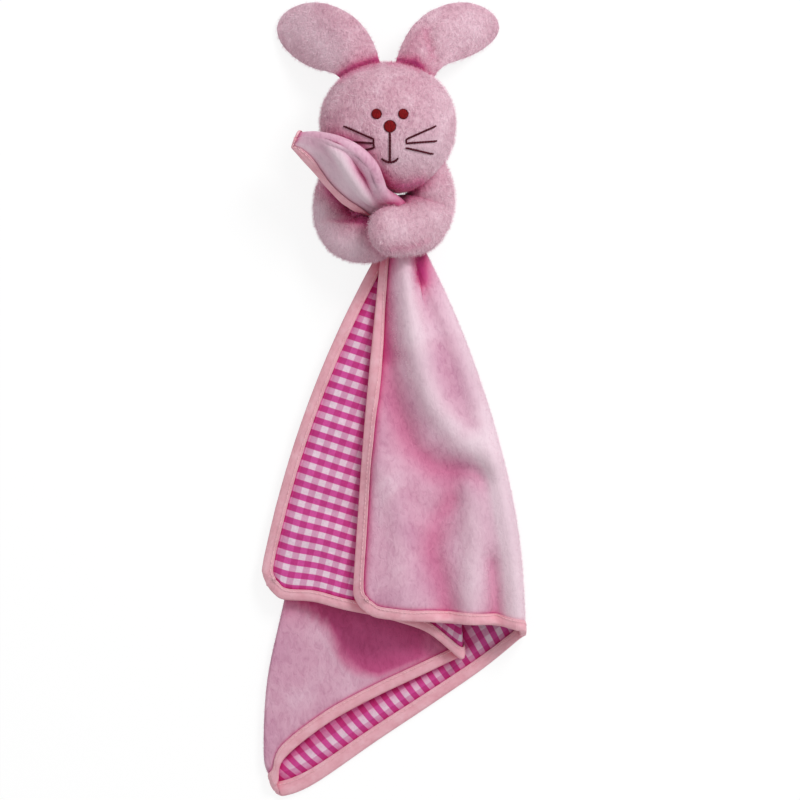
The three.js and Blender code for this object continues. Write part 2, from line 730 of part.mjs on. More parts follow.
// Normals of a grid, pointing to the velour side: the rows run down the hanging part, or up the
// part in the ring, which turns them over
function gridNormals(grid, turn) {
  return grid.map((row, i) => row.map((p, j) => {
    const down = new THREE.Vector3().subVectors(
      grid[Math.min(i + 1, grid.length - 1)][j], grid[Math.max(i - 1, 0)][j],
    );
    const across = new THREE.Vector3().subVectors(
      row[Math.min(j + 1, row.length - 1)], row[Math.max(j - 1, 0)],
    );
    return new THREE.Vector3().crossVectors(down, across).normalize().multiplyScalar(turn);
  }));
}

function offsetGrid(grid, normals, distance) {
  return grid.map((row, i) => row.map((p, j) => p.clone().addScaledVector(normals[i][j], distance)));
}

// A strip of tape folded over the rim of the cloth: along the first column, the last row and
// the last column
function tapeSolid(grid, normals) {
  const last = grid.length - 1;
  const end = grid[0].length - 1;
  const rim = [];
  for (let i = 0; i < last; i++) rim.push([i, 0, Math.min(i, last - 1), 1]);
  for (let j = 0; j <= end; j++) rim.push([last, j, last - 1, Math.min(Math.max(j, 1), end - 1)]);
  for (let i = last - 1; i >= 0; i--) rim.push([i, end, Math.min(i, last - 1), end - 1]);
  const sections = rim.map(([i, j, innerI, innerJ], s) => {
    const point = grid[i][j];
    const normal = normals[i][j];
    const inner = grid[innerI][innerJ];
    const innerNormal = normals[innerI][innerJ];
    const previous = rim[Math.max(0, s - 1)];
    const following = rim[Math.min(rim.length - 1, s + 1)];
    const along = new THREE.Vector3().subVectors(
      grid[following[0]][following[1]], grid[previous[0]][previous[1]],
    );
    const out = new THREE.Vector3().crossVectors(along, normal).normalize();
    if (out.dot(new THREE.Vector3().subVectors(point, inner)) < 0) out.negate();
    const at = (base, n, away, offset) => base.clone().addScaledVector(out, away).addScaledVector(n, offset);
    return [
      at(inner, innerNormal, 0, tapeOnVelour),
      at(point, normal, edgeSlack, tapeOnVelour),
      at(point, normal, edgeSlack, -tapeOnLining),
      at(inner, innerNormal, 0, -tapeOnLining),
      at(inner, innerNormal, 0, -liningFace - gap),
      at(point, normal, gap, -liningFace - gap),
      at(point, normal, gap, velourFace + gap),
      at(inner, innerNormal, 0, velourFace + gap),
    ];
  });
  const points = sections.flat();
  const faces = [];
  for (let s = 0; s < sections.length - 1; s++) {
    for (let m = 0; m < 8; m++) {
      const [a, b] = [s * 8 + m, s * 8 + (m + 1) % 8];
      if (m % 4 === 2) faces.push([a, b, a + 8], [b, b + 8, a + 8]);
      else faces.push([a, b, b + 8], [a, b + 8, a + 8]);
    }
  }
  const cap = (base, flip) => {
    const quads = [[0, 1, 6, 7], [1, 2, 5, 6], [2, 3, 4, 5]];
    for (const [a, b, c, d] of quads) {
      const pair = [[a, c, b], [a, d, c]].map((f) => f.map((m) => base + m));
      faces.push(...(flip ? pair.map((f) => [...f].reverse()) : pair));
    }
  };
  cap(0, false);
  cap((sections.length - 1) * 8, true);
  return skinOf(points, faces);
}

function clothPieces(prefix, grid, turn) {
  const normals = gridNormals(grid, turn);
  const layer = (high, low) => gridSolid(offsetGrid(grid, normals, high), offsetGrid(grid, normals, low));
  return {
    [`${prefix}_velour`]: [layer(velourFace, gap / 2), 'velour'],
    [`${prefix}_lining`]: [layer(-gap / 2, -liningFace), 'gingham'],
    [`${prefix}_binding`]: [tapeSolid(grid, normals), 'binding'],
  };
}

const hanging = hangingSurface();
const poke = pokeSurface();

// Space that the cloth takes under the paws, which the arms are pressed round: the part in the
// ring, and the hanging part through its whole swing
function clothSpace(grow) {
  const margin = tapeOnVelour + gap + grow;
  const signs = [-1, 1];
  const around = (p) => signs.flatMap((x) => signs.flatMap((y) => signs.map(
    (z) => [p.x + x * margin, p.y + y * margin, p.z + z * margin],
  )));
  const turned = (p, degrees) => {
    const a = THREE.MathUtils.degToRad(degrees);
    const q = new THREE.Vector2(p.x, p.y).rotateAround(ringCentre, a);
    return new THREE.Vector3(q.x, q.y, p.z);
  };
  const floorUnder = (points) => points.flatMap((p) => (p[2] < stackHeight ? [p, [p[0], p[1], -1]] : [p]));
  const spaces = [];
  for (let i = 0; i < 6; i++) {
    spaces.push(wasm.Manifold.hull(floorUnder([...poke[i], ...poke[i + 1]].flatMap(around))));
  }
  for (let i = 0; i < 2; i++) {
    const both = [...hanging[i], ...hanging[i + 1]];
    const swept = [-swingAngle, 0, swingAngle].flatMap((a) => both.map((p) => turned(p, a)));
    spaces.push(wasm.Manifold.hull(floorUnder(swept.flatMap(around))));
  }
  return wasm.Manifold.union(spaces);
}

// An arm's cover is hollow and open at the shoulder, where it is sewn to the head
function armPieces(arm, others) {
  const pressed = (grow, inset) => {
    let form = armForm(arm, grow);
    for (const other of others) form = form.subtract(armForm(other, gap + inset));
    return form.subtract(clothSpace(inset)).subtract(below(inset));
  };
  const cover = largest(pressed(0, 0).subtract(pressed(-coverWall, coverWall)).subtract(headKeepOut));
  const filling = largest(pressed(-coverWall - gap, coverWall + gap).subtract(headKeepOut).subtract(cover));
  return {
    [`arm_${arm.side}_cover`]: [cover, 'plush'],
    [`arm_${arm.side}_filling`]: [filling, 'filling'],
  };
}

// Assembly

const part = new THREE.Group();

function addPieces(pieces) {
  for (const [name, [shape, colour]] of Object.entries(pieces)) {
    const geometry = shape.isBufferGeometry ? shape : geometryOf(shape);
    geometry.computeVertexNormals();
    const material = new THREE.MeshStandardMaterial({
      color: colours[colour], roughness: colour === 'thread' ? 0.6 : 0.95, metalness: 0,
    });
    const mesh = new THREE.Mesh(geometry, material);
    mesh.name = name;
    part.add(mesh);
  }
}

addPieces(headPieces());
addPieces(facePieces());
for (const ear of ears) addPieces(earPieces(ear));
addPieces(armPieces(leftArm, [rightArm]));
addPieces(armPieces(rightArm, []));
addPieces(clothPieces('corner', poke, -1));
addPieces(clothPieces('blanket', hanging, 1));

export default part;
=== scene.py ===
import math
import random
import bmesh
import bpy
from mathutils import Matrix, Vector, noise
from mathutils.bvhtree import BVHTree


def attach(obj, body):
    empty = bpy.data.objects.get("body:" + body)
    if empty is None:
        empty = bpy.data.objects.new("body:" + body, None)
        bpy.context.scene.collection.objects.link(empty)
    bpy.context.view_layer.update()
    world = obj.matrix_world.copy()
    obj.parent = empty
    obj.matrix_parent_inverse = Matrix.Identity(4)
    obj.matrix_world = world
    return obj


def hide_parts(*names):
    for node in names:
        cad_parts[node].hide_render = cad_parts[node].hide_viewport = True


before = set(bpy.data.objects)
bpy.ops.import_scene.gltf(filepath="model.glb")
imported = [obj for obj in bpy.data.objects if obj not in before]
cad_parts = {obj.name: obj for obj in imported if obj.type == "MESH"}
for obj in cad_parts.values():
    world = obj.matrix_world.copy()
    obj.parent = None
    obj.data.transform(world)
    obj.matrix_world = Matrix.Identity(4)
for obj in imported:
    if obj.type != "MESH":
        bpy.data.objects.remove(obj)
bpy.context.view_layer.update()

mm = 0.001  # shapes are worked out in millimetres and kept in metres
noise.seed_set(1)  # without a seed noise_vector takes another one from the clock on each run


def fromScreen(red, green, blue):
    def linear(value):
        value /= 255
        return value / 12.92 if value <= 0.04045 else ((value + 0.055) / 1.055) ** 2.4
    return (linear(red), linear(green), linear(blue), 1)


def mix(a, b, share):
    return a * (1 - share) + b * share


def ease(low, high, value):
    share = min(1, max(0, (value - low) / (high - low)))
    return share * share * (3 - 2 * share)


# The value of a line through (place, value) stops
def alongStops(stops, value):
    for (a, low), (b, high) in zip(stops, stops[1:]):
        if value <= b:
            return mix(low, high, max(0, (value - a) / (b - a)))
    return stops[-1][1]


# Camera, straight over the toy

shot = {"middle": (7.2, -164.4), "focusHeight": 20, "distance": 10.0, "field": 0.48, "sensor": 36}

cameraData = bpy.data.cameras.new("overheadCamera")
cameraData.sensor_width = shot["sensor"]
cameraData.lens = shot["sensor"] * shot["distance"] / shot["field"]
camera = bpy.data.objects.new("overheadCamera", cameraData)
camera.location = (shot["middle"][0] * mm, shot["middle"][1] * mm, shot["focusHeight"] * mm + shot["distance"])
bpy.context.scene.collection.objects.link(camera)
bpy.context.scene.camera = camera
bpy.context.scene.view_settings.view_transform = "Standard"

# Light: a wide soft lamp above the ears and to their right, and an even world

studio = {"lampPlace": (0.8, 0.8, 1.15), "lampSize": 0.6, "lampPower": 15.5, "worldLevel": 0.57,
          "floorColour": (0.9, 0.9, 0.9, 1), "floorShade": 0.2, "shadeMade": 0.75, "floorSize": 3}

lampData = bpy.data.lights.new("softLamp", "AREA")
lampData.shape = "DISK"
lampData.size = studio["lampSize"]
lampData.energy = studio["lampPower"]
lamp = bpy.data.objects.new("softLamp", lampData)
lamp.location = studio["lampPlace"]
lampAim = Vector((*shot["middle"], 0)) * mm
lamp.rotation_euler = (lampAim - lamp.location).to_track_quat("-Z", "Y").to_euler()
bpy.context.scene.collection.objects.link(lamp)


# Small helpers for node trees

def addNode(tree, kind, values=None, **settings):
    node = tree.nodes.new(kind)
    for key, value in settings.items():
        setattr(node, key, value)
    for key, value in (values or {}).items():
        node.inputs[key].default_value = value
    return node


def link(tree, source, output, target, entry):
    tree.links.new(source.outputs[output], target.inputs[entry])


def addRamp(tree, source, stops):
    ramp = addNode(tree, "ShaderNodeValToRGB")
    elements = ramp.color_ramp.elements
    for element, (place, colour) in zip(elements, (stops[0], stops[-1])):
        element.position, element.color = place, colour
    for place, colour in stops[1:-1]:
        elements.new(place).color = colour
    tree.links.new(source, ramp.inputs["Fac"])
    return ramp.outputs["Color"]


def addMath(tree, operation, first, second=None):
    node = addNode(tree, "ShaderNodeMath", operation=operation)
    for entry, value in enumerate((first, second)):
        if value is None:
            continue
        if isinstance(value, (int, float)):
            node.inputs[entry].default_value = value
        else:
            tree.links.new(value, node.inputs[entry])
    return node.outputs[0]


def product(tree, first, second):
    return addMath(tree, "MULTIPLY", first, second)


def clamped(tree, value):
    return addMath(tree, "MINIMUM", addMath(tree, "MAXIMUM", value, 0.0), 1.0)


def whiteToCamera(tree, lit, shade=None):
    # what the camera, a glossy surface and glass see is a white backdrop that keeps some of the shade
    path = addNode(tree, "ShaderNodeLightPath")
    seen = addMath(tree, "MAXIMUM", path.outputs["Is Camera Ray"], path.outputs["Is Glossy Ray"])
    seen = addMath(tree, "MAXIMUM", seen, path.outputs["Is Transmission Ray"])
    if shade is None:
        shown = addNode(tree, "ShaderNodeBackground", {"Color": (1, 1, 1, 1), "Strength": 1}).outputs[0]
    else:
        # a little brighter than white, to make up for most of what the lit share takes off it
        white = addNode(tree, "ShaderNodeEmission", {
            "Color": (1, 1, 1, 1), "Strength": (1 - shade * studio["shadeMade"]) / (1 - shade)})
        partly = addNode(tree, "ShaderNodeMixShader", {"Fac": shade})
        tree.links.new(white.outputs[0], partly.inputs[1])
        tree.links.new(lit, partly.inputs[2])
        shown = partly.outputs[0]
    both = addNode(tree, "ShaderNodeMixShader")
    tree.links.new(seen, both.inputs["Fac"])
    tree.links.new(lit, both.inputs[1])
    tree.links.new(shown, both.inputs[2])
    return both


world = bpy.data.worlds.new("studioWorld")
bpy.context.scene.world = world
world.use_nodes = True
worldTree = world.node_tree
even = worldTree.nodes["Background"]
even.inputs["Color"].default_value = (1, 1, 1, 1)
even.inputs["Strength"].default_value = studio["worldLevel"]
both = whiteToCamera(worldTree, even.outputs[0])
link(worldTree, both, 0, worldTree.nodes["World Output"], "Surface")

floorFinish = bpy.data.materials.new("paleFloor")
floorFinish.use_nodes = True
floorTree = floorFinish.node_tree
floorTree.nodes.remove(floorTree.nodes["Principled BSDF"])
floorLit = addNode(floorTree, "ShaderNodeBsdfDiffuse", {"Color": studio["floorColour"]})
both = whiteToCamera(floorTree, floorLit.outputs[0], studio["floorShade"])
link(floorTree, both, 0, floorTree.nodes["Material Output"], "Surface")

floorShape = bmesh.new()
bmesh.ops.create_grid(floorShape, x_segments=1, y_segments=1, size=studio["floorSize"])
floorMesh = bpy.data.meshes.new("studioFloor")
floorShape.to_mesh(floorMesh)
floorShape.free()
floorMesh.materials.append(floorFinish)
floor = bpy.data.objects.new("studioFloor", floorMesh)
bpy.context.scene.collection.objects.link(floor)
print("camera, lamp and floor are ready")


# Finishes

def newFinish(name, look):
    finish = bpy.data.materials.new(name)
    finish.use_nodes = True
    shader = finish.node_tree.nodes["Principled BSDF"]
    for entry, key in (("Roughness", "roughness"), ("Specular IOR Level", "specular"), ("Sheen Weight", "sheen"),
                       ("Sheen Tint", "sheenTint")):
        shader.inputs[entry].default_value = look[key]
    shader.inputs["Sheen Roughness"].default_value = 0.4
    return finish, finish.node_tree, shader


def stretchedNoise(tree, scale, stretch=(1, 1, 1), turn=0.0, **values):
    mapping = addNode(tree, "ShaderNodeMapping", {"Scale": stretch, "Rotation": (0, 0, turn)})
    link(tree, addNode(tree, "ShaderNodeTexCoord"), "Object", mapping, "Vector")
    texture = addNode(tree, "ShaderNodeTexNoise", {"Scale": scale, **values})
    link(tree, mapping, "Vector", texture, "Vector")
    return texture.outputs["Fac"]


def flatAxes(tree):
    apart = addNode(tree, "ShaderNodeSeparateXYZ")
    link(tree, addNode(tree, "ShaderNodeUVMap", uv_map="flat"), "UV", apart, "Vector")
    return apart.outputs


def fineWave(tree, along, pitch):
    return addMath(tree, "SINE", product(tree, along, 2 * math.pi / pitch))


def blendColours(tree, first, second, share, kind="MIX"):
    node = addNode(tree, "ShaderNodeMix", data_type="RGBA", blend_type=kind)
    for entry, value in ((0, share), (6, first), (7, second)):
        if isinstance(value, (int, float, tuple)):
            node.inputs[entry].default_value = value
        else:
            tree.links.new(value, node.inputs[entry])
    return node.outputs[2]


# Painted light and shade in the colour: painted shade where a point sits deep among its neighbours, a painted highlight
# on crests and painted shade in hollows and under hems. Each shape brings its own values for these, worked out further
# down
paintedLightLook = {"creviceShadeGain": 2.2, "hollowShadeGain": 0.8, "hollowShadeShare": 0.85, "deepShadeGain": 1.2, "deepShadeTint": (0.66, 0.3, 0.58, 1),
             "paintedHighlightShare": 0.55}


def paintLightAndShade(tree, shader, colour, look):
    # painted shade in crevices: the deeper a point sits among its neighbours, the darker its colour
    creviceShade = addNode(tree, "ShaderNodeAttribute", attribute_name="creviceShade").outputs["Fac"]
    share = clamped(tree, product(tree, creviceShade, paintedLightLook["creviceShadeGain"]))
    colour = blendColours(tree, colour, look["paintedShadeTint"], share, "MULTIPLY")
    if "paintedHighlightTint" in look:
        # painted shading: below 0 painted shade in the hollows and under hems, above 0 a painted highlight on the
        # crests
        crestAndPaintedLight = addNode(tree, "ShaderNodeAttribute", attribute_name="crestAndPaintedLight").outputs["Fac"]
        sink = clamped(tree, product(tree, crestAndPaintedLight, -paintedLightLook["hollowShadeGain"]))
        sink = product(tree, sink, paintedLightLook["hollowShadeShare"])
        colour = blendColours(tree, colour, look["paintedShadeTint"], sink, "MULTIPLY")
        # deeper painted shade where the value falls below -1
        deepShade = clamped(tree, product(tree, addMath(tree, "ADD", crestAndPaintedLight, 1.0), -paintedLightLook["deepShadeGain"]))
        colour = blendColours(tree, colour, paintedLightLook["deepShadeTint"], deepShade, "MULTIPLY")
        # painted highlight on the crests
        rise = product(tree, clamped(tree, crestAndPaintedLight), paintedLightLook["paintedHighlightShare"])
        colour = blendColours(tree, colour, look["paintedHighlightTint"], rise)
    tree.links.new(colour, shader.inputs["Base Color"])


def addBump(tree, shader, height, distance):
    bump = addNode(tree, "ShaderNodeBump", {"Strength": 1.0, "Distance": distance})
    tree.links.new(height, bump.inputs["Height"])
    link(tree, bump, "Normal", shader, "Normal")


def addRelief(tree, shader, first, firstHeight, second, secondHeight):
    height = addMath(tree, "ADD", product(tree, first, firstHeight), product(tree, second, secondHeight))
    addBump(tree, shader, height, mm)


# Pile fabric: patches where the pile lies another way, tufts in it and single fibres
def pileFinish(name, look):
    finish, tree, shader = newFinish(name, look)
    patches = stretchedNoise(tree, look["patchScale"], Detail=2, Distortion=0.6)
    tufts = stretchedNoise(tree, look["tuftScale"], look["tuftStretch"], 0.5, Detail=3, Roughness=0.65,
                           Distortion=look["tuftSwirl"])
    single = stretchedNoise(tree, look["fibreScale"], (1, 0.3, 1), 0.9, Detail=2, Distortion=0.8)
    low, middle, high = look["colours"]
    ground = addRamp(tree, patches, [(0.32, low), (0.5, middle), (0.68, high)])
    shades = addRamp(tree, tufts, [(0.3, look["tuftDark"]), (0.52, (1, 1, 1, 1)), (0.72, look["tuftLight"])])
    paintLightAndShade(tree, shader, blendColours(tree, ground, shades, 1.0, "MULTIPLY"), look)
    addRelief(tree, shader, tufts, look["tuftRelief"], single, look["fibreRelief"])
    return finish


plushLook = {
    "sheen": 0.5, "sheenTint": (1, 0.88, 0.94, 1), "roughness": 0.95, "specular": 0.1,
    "patchScale": 60, "tuftScale": 620, "tuftStretch": (1, 0.55, 1), "tuftSwirl": 0.3, "fibreScale": 2200,
    "tuftRelief": 0.9, "fibreRelief": 0.4,
    "colours": (fromScreen(208, 158, 176), fromScreen(216, 170, 186), fromScreen(226, 187, 201)),
    "tuftDark": (0.75, 0.63, 0.7, 1), "tuftLight": (1.1, 1.18, 1.15, 1),
    # painted shade for crevices and hollows, and a painted highlight for crests
    "paintedShadeTint": (0.85, 0.23, 0.5, 1), "paintedHighlightTint": fromScreen(240, 220, 230),
}
velourLook = {
    "sheen": 0.5, "sheenTint": (1, 0.88, 0.95, 1), "roughness": 0.95, "specular": 0.1,
    "patchScale": 30, "tuftScale": 360, "tuftStretch": (1, 0.5, 1), "tuftSwirl": 0.8, "fibreScale": 3000,
    "tuftRelief": 0.5, "fibreRelief": 0.3,
    "colours": (fromScreen(213, 156, 183), fromScreen(222, 170, 193), fromScreen(230, 186, 206)),
    "tuftDark": (0.86, 0.76, 0.82, 1), "tuftLight": (1.05, 1.08, 1.06, 1),
    # painted shade for crevices and hollows, and a painted highlight for crests
    "paintedShadeTint": (0.88, 0.19, 0.47, 1), "paintedHighlightTint": fromScreen(250, 237, 243),
}
plush = pileFinish("plush", plushLook)
velour = pileFinish("velour", velourLook)

# Fibres that stand out of the plush, each a little lighter or darker than the next, with the plush's painted shade and
# painted highlight
fibreLook = {"sheen": 0.4, "sheenTint": (1, 0.88, 0.94, 1), "roughness": 0.8, "specular": 0.2,
             "paintedShadeTint": plushLook["paintedShadeTint"], "paintedHighlightTint": plushLook["paintedHighlightTint"],
             "dark": fromScreen(212, 160, 180), "middle": fromScreen(238, 197, 212), "light": fromScreen(255, 240, 246)}


def fibreFinish():
    finish, tree, shader = newFinish("plushFibres", fibreLook)
    each = addNode(tree, "ShaderNodeNewGeometry").outputs["Random Per Island"]
    colour = addRamp(tree, each, [(0.0, fibreLook["dark"]), (0.5, fibreLook["middle"]), (1.0, fibreLook["light"])])
    paintLightAndShade(tree, shader, colour, fibreLook)
    return finish


fibres = fibreFinish()

# Gingham: the flat map of the cloth is in metres, along the square's two sides
ginghamLook = {"sheen": 0.12, "sheenTint": (1, 0.9, 0.95, 1), "roughness": 0.85, "specular": 0.2,
               "checks": (0.0079, 0.0073), "checkEdge": 3.0, "thread": 0.00042, "threadRelief": 0.05,
               "slubScale": 900, "puckerScale": 120, "puckerRelief": 1.6,
               "ground": fromScreen(245, 217, 233), "rows": fromScreen(230, 101, 180),
               "columns": fromScreen(237, 196, 219), "slubDark": (0.92, 0.9, 0.91, 1),
               # painted shade where the gingham lies in a crevice
               "slubLight": (1.03, 1.03, 1.03, 1), "paintedShadeTint": (0.92, 0.25, 0.55, 1)}


def ginghamFinish():
    finish, tree, shader = newFinish("gingham", ginghamLook)
    axes = flatAxes(tree)
    masks, threads = [], []
    for axis in (0, 1):
        wave = fineWave(tree, axes[axis], ginghamLook["checks"][axis])
        masks.append(clamped(tree, addMath(tree, "ADD", product(tree, wave, ginghamLook["checkEdge"]), 0.5)))
        threads.append(fineWave(tree, axes[axis], ginghamLook["thread"]))
    colour = blendColours(tree, ginghamLook["ground"], ginghamLook["rows"], masks[1], "MULTIPLY")
    colour = blendColours(tree, colour, ginghamLook["columns"], masks[0], "MULTIPLY")
    slub = stretchedNoise(tree, ginghamLook["slubScale"], Detail=2)
    slub = addRamp(tree, slub, [(0.3, ginghamLook["slubDark"]), (0.7, ginghamLook["slubLight"])])
    paintLightAndShade(tree, shader, blendColours(tree, colour, slub, 1.0, "MULTIPLY"), ginghamLook)
    puckers = stretchedNoise(tree, ginghamLook["puckerScale"], Detail=2)
    addRelief(tree, shader, product(tree, *threads), ginghamLook["threadRelief"], puckers, ginghamLook["puckerRelief"])
    return finish


gingham = ginghamFinish()

# Binding: satin-faced tape with fine ribs across it
tapeLook = {"sheen": 0.25, "sheenTint": (1, 0.9, 0.9, 1), "roughness": 0.7, "specular": 0.3,
            "rib": 0.0007, "ribRelief": 0.06, "shadeScale": 160, "shadeRelief": 0.5,
            "colours": (fromScreen(234, 166, 180), fromScreen(241, 178, 191), fromScreen(246, 190, 202)),
            # painted shade where the tape lies in a crevice
            "paintedShadeTint": (0.9, 0.36, 0.5, 1)}


def tapeFinish():
    finish, tree, shader = newFinish("binding", tapeLook)
    ribs = fineWave(tree, flatAxes(tree)[0], tapeLook["rib"])
    shade = stretchedNoise(tree, tapeLook["shadeScale"], Detail=3, Roughness=0.6)
    low, middle, high = tapeLook["colours"]
    paintLightAndShade(tree, shader, addRamp(tree, shade, [(0.3, low), (0.5, middle), (0.7, high)]), tapeLook)
    addRelief(tree, shader, ribs, tapeLook["ribRelief"], shade, tapeLook["shadeRelief"])
    return finish


binding = tapeFinish()

threadLook = {"sheen": 0.02, "sheenTint": (1, 0.8, 0.8, 1), "roughness": 0.6, "specular": 0.15,
              "strandScale": 1500, "strandRelief": 0.0003}


def threadFinish(name, dark, light):
    finish, tree, shader = newFinish(name, threadLook)
    strands = stretchedNoise(tree, threadLook["strandScale"], (1, 0.4, 1), Detail=2)
    colour = addRamp(tree, strands, [(0.35, fromScreen(*dark)), (0.65, fromScreen(*light))])
    tree.links.new(colour, shader.inputs["Base Color"])
    addBump(tree, shader, strands, threadLook["strandRelief"])
    return finish


redThread = threadFinish("redThread", (106, 4, 12), (140, 14, 20))
maroonThread = threadFinish("maroonThread", (58, 0, 18), (84, 3, 30))
sewingThread = threadFinish("sewingThread", (240, 182, 192), (250, 206, 212))
print("finishes are ready")


# Helpers for pieces

def keepPiece(name, mesh, finish, body, slot, stands=(), smooth=True):
    mesh.materials.append(finish)
    if smooth:
        mesh.polygons.foreach_set("use_smooth", [True] * len(mesh.polygons))
    piece = bpy.data.objects.new(name, mesh)
    bpy.context.scene.collection.objects.link(piece)
    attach(piece, body)
    if stands:
        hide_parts(*stands)
    return piece


# A closed mesh, or many in one, with its faces turned outward
def closedMesh(name, corners, faces):
    mesh = bpy.data.meshes.new(name)
    mesh.from_pydata(corners, [], faces)
    shape = bmesh.new()
    shape.from_mesh(mesh)
    bmesh.ops.recalc_face_normals(shape, faces=shape.faces)
    if shape.calc_volume(signed=True) < 0:
        bmesh.ops.reverse_faces(shape, faces=shape.faces)
    shape.to_mesh(mesh)
    shape.free()
    return mesh


# A closed pad drawn from rings: place gives a point for a share from end to end and a turn. The rings are laid one by
# one, because the sphere operator gives its corners in another order on each run
def padMesh(name, around, along, place):
    corners = [place(0.0, 0.0) * mm]
    for ring in range(1, along):
        corners += [place(ring / along, 2 * math.pi * step / around) * mm for step in range(around)]
    corners.append(place(1.0, 0.0) * mm)
    last = len(corners) - 1
    faces = []
    for step in range(around):
        after = (step + 1) % around
        faces.append((0, 1 + step, 1 + after))
        for first in range(1, last - around, around):
            faces.append((first + step, first + around + step, first + around + after, first + after))
        faces.append((last, last - around + after, last - around + step))
    return closedMesh(name, corners, faces)


# A sheet drawn from a flat grid: points and their flat map by row and column
def sheetMesh(name, points, flats, normals, paintedLightGrid=None):
    rows, columns = len(points), len(points[0])
    shape = bmesh.new()
    bmesh.ops.create_grid(shape, x_segments=columns - 1, y_segments=rows - 1, size=1)
    flatMap = shape.loops.layers.uv.new("flat")
    # painted highlight and painted shade for each point, when given
    crestAndPaintedLight = shape.verts.layers.float.new("crestAndPaintedLight") if paintedLightGrid else None
    places = {}
    for corner in shape.verts:
        places[corner] = (round((corner.co.y + 1) / 2 * (rows - 1)), round((corner.co.x + 1) / 2 * (columns - 1)))
    for corner, (row, column) in places.items():
        corner.co = points[row][column] * mm
        if paintedLightGrid:
            corner[crestAndPaintedLight] = paintedLightGrid[row][column]
    facing = 0
    for face in shape.faces:
        face.normal_update()
        row, column = places[face.verts[0]]
        facing += face.normal.dot(normals[row][column])
        for loop in face.loops:
            row, column = places[loop.vert]
            loop[flatMap].uv = flats[row][column][:2]
    if facing < 0:
        bmesh.ops.reverse_faces(shape, faces=shape.faces)
    mesh = bpy.data.meshes.new(name)
    shape.to_mesh(mesh)
    shape.free()
    return mesh


def treeOf(pieces):
    points, polygons = [], []
    for piece in pieces:
        first = len(points)
        points += [v.co[:] for v in piece.data.vertices]
        polygons += [[first + v for v in p.vertices] for p in piece.data.polygons]
    return BVHTree.FromPolygons(points, polygons)


def thicken(piece, thickness):
    wall = piece.modifiers.new("wall", "SOLIDIFY")
    wall.thickness = thickness * mm
    wall.offset = 0


# Points a short way apart along a line, evenly spaced by length
def evenPoints(place, count, samples=240):
    raw = [place(step / samples) for step in range(samples + 1)]
    lengths = [0]
    for before, after in zip(raw, raw[1:]):
        lengths.append(lengths[-1] + (after - before).length)
    result, index = [], 0
    for step in range(count + 1):
        goal = lengths[-1] * step / count
        while index < samples - 1 and lengths[index + 1] < goal:
            index += 1
        span = lengths[index + 1] - lengths[index]
        result.append(raw[index].lerp(raw[index + 1], min(1, (goal - lengths[index]) / span if span else 0)))
    return result, lengths[-1]


def alongPoints(points, share):
    place = max(0, min(1, share)) * (len(points) - 1)
    index = min(len(points) - 2, int(place))
    return points[index].lerp(points[index + 1], place - index)


def directionOf(points, share):
    return (alongPoints(points, share + 0.01) - alongPoints(points, share - 0.01)).normalized()


def bezier(start, bend, end):
    return lambda t: start * (1 - t) ** 2 + bend * (2 * t * (1 - t)) + end * t * t


# A smooth line through the points, with knots spread by the root of their distance
def smoothLine(points):
    points = [2 * points[0] - points[1], *points, 2 * points[-1] - points[-2]]

    def place(t):
        spans = len(points) - 3
        index = min(spans - 1, int(t * spans))
        four = points[index:index + 4]
        knots = [0]
        for before, after in zip(four, four[1:]):
            knots.append(knots[-1] + (after - before).length ** 0.5)
        at = mix(knots[1], knots[2], t * spans - index)

        def step(a, b, low, high):
            return a * ((high - at) / (high - low)) + b * ((at - low) / (high - low))
        first = [step(four[i], four[i + 1], knots[i], knots[i + 1]) for i in range(3)]
        second = [step(first[i], first[i + 1], knots[i], knots[i + 2]) for i in range(2)]
        return step(second[0], second[1], knots[1], knots[2])
    return place


# Head

head = {"width": 82, "height": 76, "depth": 60, "squareness": 2.2, "floorFlat": 0.5, "finish": plush,
        "lump": 0.35, "seamDepth": 0.9, "seamWidth": 1.6, "stitchDepth": 0.8, "pulledIn": 0.5, "lowest": 0.02,
        "chinMiddle": 8, "chinSpread": 13, "chinDrop": 3.6, "chinFrom": (22, 36)}
headCentreZ = head["depth"] / 2 - head["floorFlat"]


def headTop(x, y, grow=0):
    u = abs(x / (head["width"] / 2 + grow)) ** head["squareness"]
    v = abs(y / (head["height"] / 2 + grow)) ** head["squareness"]
    if u + v >= 1:
        return headCentreZ * max(0, 1 - ((u + v) ** (1 / head["squareness"]) - 1) / 0.25)
    return headCentreZ + (head["depth"] / 2 + grow) * (1 - u - v) ** (1 / head["squareness"])


face = {"shift": 1.2, "eyeRadius": 3, "eyeSpacing": 16, "eyeRise": 6.6, "noseRadius": 3.6, "noseDrop": 0.8,
        "mouthLength": 21.6, "mouthWidth": 10, "mouthSag": 2.4, "mouthThread": 0.55, "whiskerThread": 0.5,
        "satinThread": 0.27, "satinPitch": 0.4, "outlineThread": 0.24, "ropePitch": 1.6,
        "whiskers": (("upper", (9.8, -8.5), (27.6, -0.6)), ("middle", (9.8, -11), (28, -9.6)),
                     ("lower", (9.4, -13.7), (25.8, -17.4)))}
sewnSpots = [(face["shift"] - face["eyeSpacing"] / 2, face["eyeRise"], face["eyeRadius"]),
             (face["shift"] + face["eyeSpacing"] / 2, face["eyeRise"], face["eyeRadius"]),
             (face["shift"], -face["noseDrop"], face["noseRadius"])]


